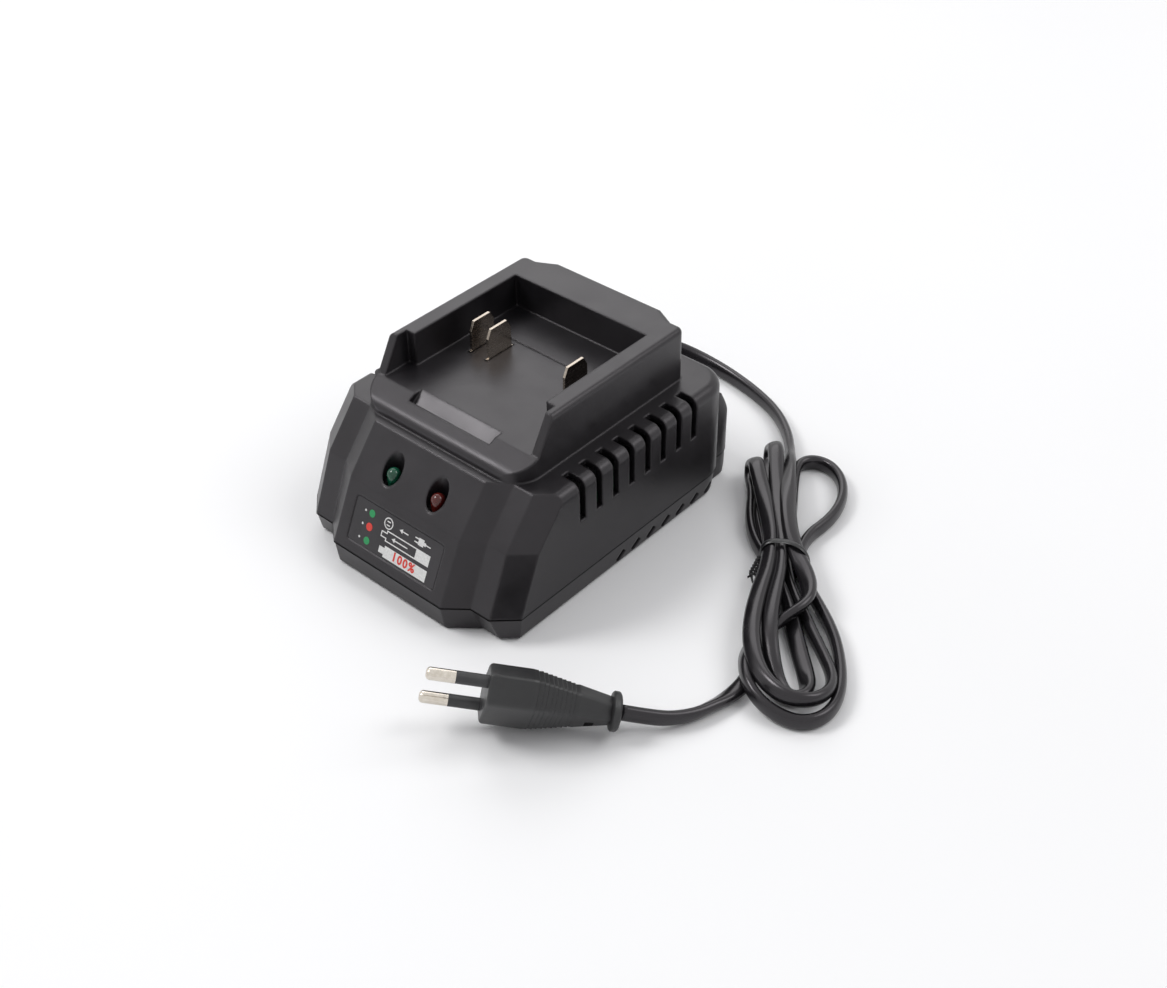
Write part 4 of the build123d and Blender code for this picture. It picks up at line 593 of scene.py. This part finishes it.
BOOT_SHARP = 50                             # degrees


def boot_profile():
    """Flange, neck and a tapered sleeve cut into ribs."""
    profile = list(BOOT_PROFILE)
    inset, drop = BOOT_RIB_EDGE
    for rib in range(BOOT_RIBS):
        middle = BOOT_FIRST_RIB + rib * BOOT_RIB_PITCH + BOOT_RIB_HALF
        root = mixed(BOOT_ROOT_RADII, middle / BOOT_LENGTH)
        crest = mixed(BOOT_RIB_RADII, middle / BOOT_LENGTH)
        start = middle - BOOT_RIB_HALF
        end = middle + BOOT_RIB_HALF
        profile += [
            (start - BOOT_RIB_SLOPE, root), (start, crest - drop), (start + inset, crest),
            (end - inset, crest), (end, crest - drop), (end + BOOT_RIB_SLOPE, root),
        ]
    return profile + [(BOOT_LENGTH + along, radius) for along, radius in BOOT_MOUTH]


def lathe(name, profile, origin, axis, material, steps):
    """Turns a profile of (along, radius) in mm round an axis through origin."""
    origin = Vector(origin) * MM
    axis = Vector(axis).normalized()
    first = axis.orthogonal().normalized()
    second = axis.cross(first)
    vertices = []
    for along, radius in profile:
        for step in range(steps):
            angle = math.tau * step / steps
            out = first * math.cos(angle) + second * math.sin(angle)
            vertices.append(origin + axis * (along * MM) + out * (radius * MM))
    return mesh_object(name, vertices, ring_faces(len(profile), steps), material)


def sharpen(piece, degrees):
    """Keeps edges above this angle sharp in a smooth mesh."""
    mesh = bmesh.new()
    mesh.from_mesh(piece.data)
    bmesh.ops.recalc_face_normals(mesh, faces=mesh.faces)
    limit = math.radians(degrees)
    for edge in mesh.edges:
        edge.smooth = len(edge.link_faces) == 2 and edge.calc_face_angle(0) < limit
    mesh.to_mesh(piece.data)
    mesh.free()


def add_strain_relief(material):
    place = (BOOT_TIP[0], HOUSING_BACK, BOOT_TIP[2])
    boot = lathe("ribbed_strain_relief", boot_profile(), place, (0, 1, 0), material, BOOT_SIDES)
    sharpen(boot, BOOT_SHARP)
    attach(boot, "root")
    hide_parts("strain_relief")
    return boot


# ---- Plug ----

PLUG_FACE = (68.6, -89.5, 17.3)             # mm, where the pins leave it
PLUG_AXIS = (-0.724, -0.653, 0.2226)        # from the cord to the pins
PLUG_WIDE = (0.399, -0.1334, 0.907)         # from one pin to the other
PLUG_LENGTH = 42.0
PLUG_FLANGE = 2.6                           # length of the flange round the cord
PLUG_FLANGE_RADIUS = 6.3
PLUG_FLANGE_SIDES = 48
FLANGE_PROFILE = [                          # distance behind the body's end, depth inside the radius
    (-0.6, 2.7), (-0.1, 1.2), (0.1, 0.35), (0.5, 0.0), (1.8, 0.0), (2.2, 0.2),
    (PLUG_FLANGE, 0.8), (PLUG_FLANGE, 3.9),
]
PLUG_SECTIONS = [                           # behind the face: half width, half flat, half thickness
    (0.0, 14.2, 7.9, 6.15), (0.35, 14.75, 8.3, 6.6), (0.9, 15.0, 8.5, 6.85), (14.0, 15.0, 8.5, 6.85),
    (16.5, 14.4, 8.0, 6.7), (39.6, 4.65, 2.64, 3.9),
]
PLUG_FRONT_RINGS = [0.0, 0.15, 0.35, 0.6, 0.9, 4.0, 9.0, 13.0]
PLUG_BACK_RINGS = [31.0, 33.0, 36.0, PLUG_LENGTH - PLUG_FLANGE]
PLUG_STEP = 0.2                             # between the rings of the grip, to 1 mm past its end
CORNER_CUTS = (0.16, 0.05)                  # shares of a side at which a corner's rounding starts and goes on
CORNER_SIDE = 12.0                          # the longest side that these are shares of
CORNER_SINK = 1.2                           # of the corner towards the middle, for each share
GRIP_START = 13.4
GRIP_END = 28.4
GRIP_PITCH = 1.5
GRIP_DEPTH = 0.55
PLUG_SLOT_BACK = 33.0                       # middle of the slot in the neck, behind the face
PLUG_SLOT_SIDE = -1.9                       # and off the middle of the plug's flat side
PLUG_SLOT_SIZE = (2.8, 3.2)
PLUG_SLOT_DEPTH = 2.2
PLUG_SHARP = 32                             # degrees
FLANGE_SHARP = 40
CUTTER_SHARP = 30


def plug_size(behind):
    """Half width, half flat and half thickness of the plug at a distance behind its face."""
    for near, far in zip(PLUG_SECTIONS, PLUG_SECTIONS[1:]):
        if behind <= far[0]:
            share = (behind - near[0]) / (far[0] - near[0])
            return [a + (b - a) * share for a, b in zip(near[1:], far[1:])]
    return PLUG_SECTIONS[-1][1:]


def plug_outline(behind):
    """Hexagonal section with soft corners, stepped along the grip."""
    half_width, half_flat, half_thick = plug_size(behind)
    if GRIP_START < behind < GRIP_END:
        step = ((behind - GRIP_START) / GRIP_PITCH) % 1
        notch = GRIP_DEPTH * (1 - step) * min(1, (behind - GRIP_START) / GRIP_PITCH)
        half_width -= notch
        half_flat -= notch / 2
        half_thick -= notch / 2
    corners = [
        (half_width, 0), (half_flat, half_thick), (-half_flat, half_thick),
        (-half_width, 0), (-half_flat, -half_thick), (half_flat, -half_thick),
    ]
    start, onward = CORNER_CUTS
    outline = []
    for index, corner in enumerate(corners):
        here = Vector(corner)
        inward = -here.normalized()
        before = corners[index - 1]
        after = corners[(index + 1) % len(corners)]
        for other, cut in ((before, start), (before, onward), (after, onward), (after, start)):
            aim = Vector(other) - here
            shift = cut * min(aim.length, CORNER_SIDE)
            outline.append(here + aim.normalized() * shift + inward * (start - cut) * CORNER_SINK)
    return outline


def plug_frame():
    """Middle of the plug's face in mm; directions to the pins, from pin to pin, and through the plug."""
    axis = Vector(PLUG_AXIS).normalized()
    wide = Vector(PLUG_WIDE)
    wide = (wide - axis * wide.dot(axis)).normalized()
    return Vector(PLUG_FACE), axis, wide, axis.cross(wide)


def cut_out(piece, middle, *halves):
    """Cuts a box out of a closed mesh; its place and three half edges are in mm."""
    corners = []
    for signs in itertools.product((-1, 1), repeat=3):
        corner = middle + sum((half * sign for half, sign in zip(halves, signs)), Vector())
        corners.append(corner * MM)
    sides = [(0, 1, 3, 2), (4, 6, 7, 5), (0, 4, 5, 1), (2, 3, 7, 6), (0, 2, 6, 4), (1, 5, 7, 3)]
    box = mesh_object("cutter", corners, sides, None, False)
    sharpen(box, CUTTER_SHARP)
    cut = piece.modifiers.new("cut", "BOOLEAN")
    cut.operation = "DIFFERENCE"
    cut.object = box
    graph = bpy.context.evaluated_depsgraph_get()
    whole = piece.data
    piece.data = bpy.data.meshes.new_from_object(piece.evaluated_get(graph))
    piece.modifiers.clear()
    bpy.data.meshes.remove(whole)
    bpy.data.objects.remove(box)


def add_plug(material):
    face, axis, wide, thick = plug_frame()
    first = PLUG_FRONT_RINGS[-1]
    steps = int((GRIP_END + 1 - first) / PLUG_STEP)
    fine_rings = [first + PLUG_STEP * step for step in range(1, steps)]
    depths = PLUG_FRONT_RINGS + fine_rings + PLUG_BACK_RINGS
    vertices = []
    for behind in depths:
        ring = plug_outline(behind)
        vertices += [(face - axis * behind + wide * p.x + thick * p.y) * MM for p in ring]
    count = len(ring)
    faces = ring_faces(len(depths), count)
    faces.append(tuple(range(count)))
    faces.append(tuple(reversed(range(len(vertices) - count, len(vertices)))))
    body = mesh_object("moulded_plug", vertices, faces, material, False)
    half_long, half_high = (size / 2 for size in PLUG_SLOT_SIZE)
    half_thick = plug_size(PLUG_SLOT_BACK)[2]
    middle = face - axis * PLUG_SLOT_BACK + wide * PLUG_SLOT_SIDE
    halves = (axis * half_long, wide * half_high, thick * PLUG_SLOT_DEPTH)
    for side in (1, -1):
        cut_out(body, middle + thick * side * half_thick, *halves)
    sharpen(body, PLUG_SHARP)
    for polygon in body.data.polygons:
        polygon.use_smooth = True
    end = PLUG_LENGTH - PLUG_FLANGE
    profile = [(end + behind, PLUG_FLANGE_RADIUS - inside) for behind, inside in FLANGE_PROFILE]
    flange = lathe("plug_flange", profile, face, -axis, material, PLUG_FLANGE_SIDES)
    sharpen(flange, FLANGE_SHARP)
    for piece in (body, flange):
        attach(piece, "root")
        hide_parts("plug_body")
    return [body, flange]


# ---- Painted shadow of the seam of the housing ----

SEAM_HEIGHT = 10.0                          # mm, where the two shells meet
SEAM_SHADOW_SPAN = (-0.08, 0.22)                   # the painted shadow of the gap reaches from here to here about it
SEAM_LIFT = 0.03                            # how far the painted shadow strip stands off the upper shell
WELD = 0.01                                 # points closer than this are one


def outline_at(node, height):
    """A node's longest outline at a height in mm, as points in order round it, in metres."""
    mesh = bmesh.new()
    mesh.from_mesh(node.data)
    mesh.transform(node.matrix_world)
    bmesh.ops.remove_doubles(mesh, verts=mesh.verts, dist=WELD * MM)
    whole = [*mesh.verts, *mesh.edges, *mesh.faces]
    level = Vector((0, 0, height * MM))
    cut = bmesh.ops.bisect_plane(mesh, geom=whole, plane_co=level, plane_no=Vector((0, 0, 1)))["geom_cut"]
    mesh.edges.index_update()
    left = {edge for edge in cut if isinstance(edge, bmesh.types.BMEdge)}
    loops = []
    while left:
        edge = min(left, key=lambda one: one.index)
        left.remove(edge)
        first, last = edge.verts
        loop = [first, last]
        following = [one for one in last.link_edges if one in left]
        while following:
            left.remove(following[0])
            last = following[0].other_vert(last)
            loop.append(last)
            following = [one for one in last.link_edges if one in left]
        loops.append([vertex.co.copy() for vertex in loop])
    mesh.free()
    points = max(loops, key=lambda loop: sum((b - a).length for a, b in zip(loop, loop[1:])))
    closed = (points[0] - points[-1]).length < WELD * MM
    return points[:-1] if closed else points


def add_painted_seam_shadow(material):
    """A matte black strip over the gap between the two shells, round the whole housing: painted shadow of the
    gap.
    """
    loop = outline_at(frame["nodes"]["top_housing"], SEAM_HEIGHT + SEAM_LIFT)
    area = sum(a.x * b.y - a.y * b.x for a, b in zip(loop, loop[1:] + loop[:1]))
    turn = math.copysign(1, area)
    vertices = []
    faces = []
    count = len(loop)
    for index, point in enumerate(loop):
        ahead = (loop[(index + 1) % count] - loop[index - 1]).normalized()
        out = Vector((ahead.y, -ahead.x, 0)) * turn * SEAM_LIFT
        for up in SEAM_SHADOW_SPAN:
            foot = Vector((point.x, point.y, SEAM_HEIGHT * MM))
            vertices.append(foot + (out + Vector((0, 0, up))) * MM)
        following = (index + 1) % count
        faces.append((2 * index, 2 * following, 2 * following + 1, 2 * index + 1))
    # The strip is painted shadow that darkens the seam's gap.
    line = mesh_object("painted_shadow_seam_strip", vertices, faces, material)
    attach(line, "root")


# ---- Print on the indicator label ----

HOUSING_FRONT = -67.0
SLOPE_FOOT = (0, HOUSING_FRONT, SEAM_HEIGHT)    # of the front slope
SLOPE_RISE = (0, 11.0, 22.4)                # from there to its crease
PRINT_LIFT = -0.15                          # from the panel's face, just over the sunk label
LINE = 0.42                                 # stroke of the printed lines
DISC_STEPS = 28

# Places on the label are across from its middle, and down from the crease.
LABEL_ROWS = (8.0, 12.9, 17.9)              # plugged in, charging, full
ROW_MARK = (-15.7, 0.42, 12)                # across, radius, steps
SOCKET_RING = (-4.5, 8.0, 2.1)              # across, down, radius
SOCKET_SLITS = ((-5.3, 7.2, -3.7), (-5.3, 8.5, -3.7))   # left, top, right
PLUG_PLACE = (11.0, 7.8)
PLUG_BARS = (                               # left, top, right, bottom, from the plug's place
    (-1.3, -1.3, 1.2, 1.3), (1.2, -0.6, 2.2, 0.6), (-3.0, -0.95, -1.3, -0.5),
    (-3.0, 0.5, -1.3, 0.95), (2.2, -0.2, 4.4, 0.2),
)
ARROW_HEAD = (1.5, 0.85)                    # length, half width
PLUG_ARROW = (0.7, 4.9, 7.9)                # tip, tail, down
CHARGE_ARROW = (-1.6, 6.0, 12.4)
BATTERY_TERMINAL = (2.4, 0.9)               # length of the narrow end, and its step to each side
EMPTY_BATTERY = (-6.7, 10.4, 16.3, 14.4)    # left, top, right, bottom
EMPTY_CHARGE = (9.8, 10.8, 15.9, 14.0)
FULL_BATTERY = (-6.0, 15.8, 16.5, 19.9)
GREEN_DOTS = ((-12.6, 0, 1.35), (-12.1, 2, 1.35))       # across, row, radius
RED_DOTS = ((-12.4, 1, 1.45),)
PRINT_WHITE = (0.78, 0.78, 0.77)
PRINT_GREEN = (0.01, 0.30, 0.09)
PRINT_RED = (0.72, 0.045, 0.03)
PRINT_GRAIN = 1600.0
PRINT_DARKER = 0.86
PRINT_ROUGHNESS = (0.34, 0.44)
WORD_PLACE = (5.8, 17.8)
WORD_SIZE = 4.3                             # mm
WORD_WEIGHT = 0.16                          # mm added to its strokes
WORD_SPACING = 1.22
WORD_CURVE_STEPS = 4
WORD_LIFT = 0.05                            # over the battery it is printed on


def on_label(x, down):
    """A place on the label in mm."""
    rise = Vector(SLOPE_RISE)
    normal = Vector((0, -rise.z, rise.y)).normalized()
    place = Vector(SLOPE_FOOT) + rise.normalized() * (rise.length - down)
    return place + Vector((x, 0, 0)) + normal * PRINT_LIFT


def disc(x, down, radius, steps=DISC_STEPS):
    points = []
    for step in range(steps):
        angle = math.tau * step / steps
        points.append((x + radius * math.cos(angle), down + radius * math.sin(angle)))
    return points


def bar(left, top, right, bottom):
    return [(left, bottom), (right, bottom), (right, top), (left, top)]


def ring_quads(x, down, radius):
    outer = disc(x, down, radius)
    inner = disc(x, down, radius - LINE)
    return [[outer[k - 1], outer[k], inner[k], inner[k - 1]] for k in range(DISC_STEPS)]


def left_arrow(tip, tail, down):
    head, half = ARROW_HEAD
    return [
        [(tip, down), (tip + head, down + half), (tip + head, down - half)],
        bar(tip + head, down - LINE / 2, tail, down + LINE / 2),
    ]


def battery_shape(left, top, right, bottom):
    """A battery pack's outline: body, shoulder and terminal at the left."""
    narrow, step = BATTERY_TERMINAL
    shoulder = left + narrow
    return [
        (left, bottom - step), (shoulder, bottom - step), (shoulder, bottom), (right, bottom),
        (right, top), (shoulder, top), (shoulder, top + step), (left, top + step),
    ]


def outline_strips(loop, width):
    """Strips just inside a closed outline."""
    middle = Vector((sum(x for x, _ in loop) / len(loop), sum(y for _, y in loop) / len(loop)))
    inner = []
    for x, y in loop:
        inner.append((x + math.copysign(width, middle.x - x), y + math.copysign(width, middle.y - y)))
    return [[loop[k - 1], loop[k], inner[k], inner[k - 1]] for k in range(len(loop))]


def plug_icon(x, down):
    return [bar(x + left, down + top, x + right, down + bottom) for left, top, right, bottom in PLUG_BARS]


def printed(name, shapes, material):
    vertices = []
    faces = []
    for shape in shapes:
        start = len(vertices)
        vertices += [on_label(x, down) * MM for x, down in shape]
        faces.append(tuple(range(start, start + len(shape))))
    piece = mesh_object(name, vertices, faces, material, False)
    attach(piece, "root")
    return piece


def print_material(name, colour):
    material, tree, shader = node_material(name)
    grain = noise(tree, PRINT_GRAIN, 2.0)
    darker = tuple(channel * PRINT_DARKER for channel in colour)
    tree.links.new(two_tone(tree, grain, darker, colour), shader.inputs["Base Color"])
    tree.links.new(ranged(tree, grain, *PRINT_ROUGHNESS), shader.inputs["Roughness"])
    return material


def add_percent(material):
    """The charge in figures, on the full battery."""
    words = bpy.data.curves.new("label_percent", "FONT")
    words.body = "100%"
    words.size = WORD_SIZE * MM
    words.offset = WORD_WEIGHT * MM
    words.space_character = WORD_SPACING
    words.align_x = "CENTER"
    words.align_y = "CENTER"
    words.resolution_u = WORD_CURVE_STEPS
    words.materials.append(material)
    text = bpy.data.objects.new("label_percent", words)
    rise = Vector(SLOPE_RISE).normalized()
    normal = Vector((0, -rise.z, rise.y))
    turn = Matrix((Vector((1, 0, 0)), rise, normal)).transposed().to_4x4()
    text.matrix_world = Matrix.Translation((on_label(*WORD_PLACE) + normal * WORD_LIFT) * MM) @ turn
    bpy.context.scene.collection.objects.link(text)
    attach(text, "root")


def add_label_print():
    white = print_material("print_white", PRINT_WHITE)
    green = print_material("print_green", PRINT_GREEN)
    red = print_material("print_red", PRINT_RED)
    place, radius, steps = ROW_MARK
    marks = [disc(place, down, radius, steps) for down in LABEL_ROWS]
    marks += ring_quads(*SOCKET_RING)
    marks += [bar(left, top, right, top + LINE) for left, top, right in SOCKET_SLITS]
    marks += left_arrow(*PLUG_ARROW) + plug_icon(*PLUG_PLACE)
    marks += outline_strips(battery_shape(*EMPTY_BATTERY), LINE)
    marks += [bar(*EMPTY_CHARGE)] + left_arrow(*CHARGE_ARROW)
    marks += [battery_shape(*FULL_BATTERY)]
    printed("label_marks", marks, white)
    printed("label_green_dots", [disc(x, LABEL_ROWS[row], size) for x, row, size in GREEN_DOTS], green)
    printed("label_red_dot", [disc(x, LABEL_ROWS[row], size) for x, row, size in RED_DOTS], red)
    add_percent(red)


# ---- Studio ----

FLOOR_HALF = 8.0                            # m
FLOOR_TONES = ((0.93, 0.93, 0.935), (0.95, 0.95, 0.955))
FLOOR_CLOUDS = 3.0                          # waves per metre
FLOOR_ROUGHNESS = 0.6
FLOOR_SPECULAR = 0.2
FLOOR_FADE = (0.5, 1.5)                     # distances over which the floor melts into the background
WORLD_LOW = (0.12, 0.12, 0.122, 1)          # the light the world gives near the horizon
WORLD_HIGH = (0.56, 0.56, 0.571, 1)         # and overhead
WORLD_SPAN = (0.05, 0.75)                   # heights between which the one turns into the other
WORLD_SEEN = (0.95, 0.95, 0.95, 1)          # its tone as a background
SOFTBOXES = (                               # place and side in m, radiance
    ("softbox_key", (-1.0, -0.68, 1.45), 0.65, 10.5),
    ("softbox_back", (-1.1, 0.95, 1.33), 1.25, 1.5),
    ("softbox_side", (0.95, 0.8, 1.5), 1.0, 3.1),
)
SOFTBOX_AIM = (0.03, 0.0, 0.03)


def showing_rays(tree):
    """1 for rays that show the background: from the camera, in a reflection or through a clear part."""
    path = tree.nodes.new("ShaderNodeLightPath")
    showing = path.outputs["Is Camera Ray"]
    for ray in ("Is Glossy Ray", "Is Transmission Ray"):
        either = tree.nodes.new("ShaderNodeMath")
        either.operation = "MAXIMUM"
        tree.links.new(showing, either.inputs[0])
        tree.links.new(path.outputs[ray], either.inputs[1])
        showing = either.outputs["Value"]
    return showing


def mixed_shader(tree, share, first, second, target):
    mix = tree.nodes.new("ShaderNodeMixShader")
    tree.links.new(share, mix.inputs["Fac"])
    tree.links.new(first, mix.inputs[1])
    tree.links.new(second, mix.inputs[2])
    tree.links.new(mix.outputs["Shader"], target)


def add_floor():
    """A wide pale floor that melts into the background far off, where it is seen."""
    material, tree, shader = node_material("studio_floor")
    clouds = noise(tree, FLOOR_CLOUDS, 2.0)
    tree.links.new(two_tone(tree, clouds, *FLOOR_TONES), shader.inputs["Base Color"])
    shader.inputs["Roughness"].default_value = FLOOR_ROUGHNESS
    shader.inputs["Specular IOR Level"].default_value = FLOOR_SPECULAR
    coordinates = tree.nodes.new("ShaderNodeTexCoord")
    distance = tree.nodes.new("ShaderNodeVectorMath")
    distance.operation = "LENGTH"
    tree.links.new(coordinates.outputs["Object"], distance.inputs[0])
    fade = ranged(tree, distance.outputs["Value"], 0.0, 1.0, *FLOOR_FADE)
    share = tree.nodes.new("ShaderNodeMath")
    share.operation = "MULTIPLY"
    tree.links.new(fade, share.inputs[0])
    tree.links.new(showing_rays(tree), share.inputs[1])
    seen = tree.nodes.new("ShaderNodeEmission")
    seen.inputs["Color"].default_value = WORLD_SEEN
    target = tree.nodes["Material Output"].inputs["Surface"]
    mixed_shader(tree, share.outputs["Value"], shader.outputs["BSDF"], seen.outputs["Emission"], target)
    half = FLOOR_HALF
    corners = [(-half, -half, 0), (half, -half, 0), (half, half, 0), (-half, half, 0)]
    floor = mesh_object("studio_floor", corners, [(0, 1, 2, 3)], material, False)


def add_softbox(name, place, size, radiance):
    """A square area light of a given radiance, aimed at the charger."""
    data = bpy.data.lights.new(name, "AREA")
    data.shape = "SQUARE"
    data.size = size
    data.energy = radiance * math.pi * size * size
    box = bpy.data.objects.new(name, data)
    direction = Vector(SOFTBOX_AIM) - Vector(place)
    turn = direction.to_track_quat("-Z", "Y").to_matrix().to_4x4()
    box.matrix_world = Matrix.Translation(Vector(place)) @ turn
    bpy.context.scene.collection.objects.link(box)


def add_world():
    """Pale where it is seen or reflected; the light that it gives grows from the horizon up."""
    world = bpy.data.worlds.new("studio")
    world.use_nodes = True
    tree = world.node_tree
    light = tree.nodes["Background"]
    coordinates = tree.nodes.new("ShaderNodeTexCoord")
    height = tree.nodes.new("ShaderNodeSeparateXYZ")
    tree.links.new(coordinates.outputs["Generated"], height.inputs["Vector"])
    ramp = tree.nodes.new("ShaderNodeValToRGB")
    for element, position, tone in zip(ramp.color_ramp.elements, WORLD_SPAN, (WORLD_LOW, WORLD_HIGH)):
        element.position = position
        element.color = tone
    tree.links.new(height.outputs["Z"], ramp.inputs["Fac"])
    tree.links.new(ramp.outputs["Color"], light.inputs["Color"])
    seen = tree.nodes.new("ShaderNodeBackground")
    seen.inputs["Color"].default_value = WORLD_SEEN
    target = tree.nodes["World Output"].inputs["Surface"]
    mixed_shader(tree, showing_rays(tree), light.outputs["Background"], seen.outputs["Background"], target)
    bpy.context.scene.world = world


def add_studio():
    add_floor()
    add_world()
    for softbox in SOFTBOXES:
        add_softbox(*softbox)
    settings = bpy.context.scene.view_settings
    settings.view_transform = "Standard"
    settings.look = "None"
    settings.exposure = 0.0
    settings.gamma = 1.0


def build():
    materials = make_materials()
    add_camera()
    dress_cad_nodes(materials)
    tie = add_tie(materials["tie_black"])
    boot = add_strain_relief(materials["cord_black"])
    plug = add_plug(materials["plug_black"])
    add_cord(materials["cord_black"])
    # Painted shadow along the gap between the shells.
    add_painted_seam_shadow(materials["seam_black"])
    add_label_print()
    add_studio()


build()
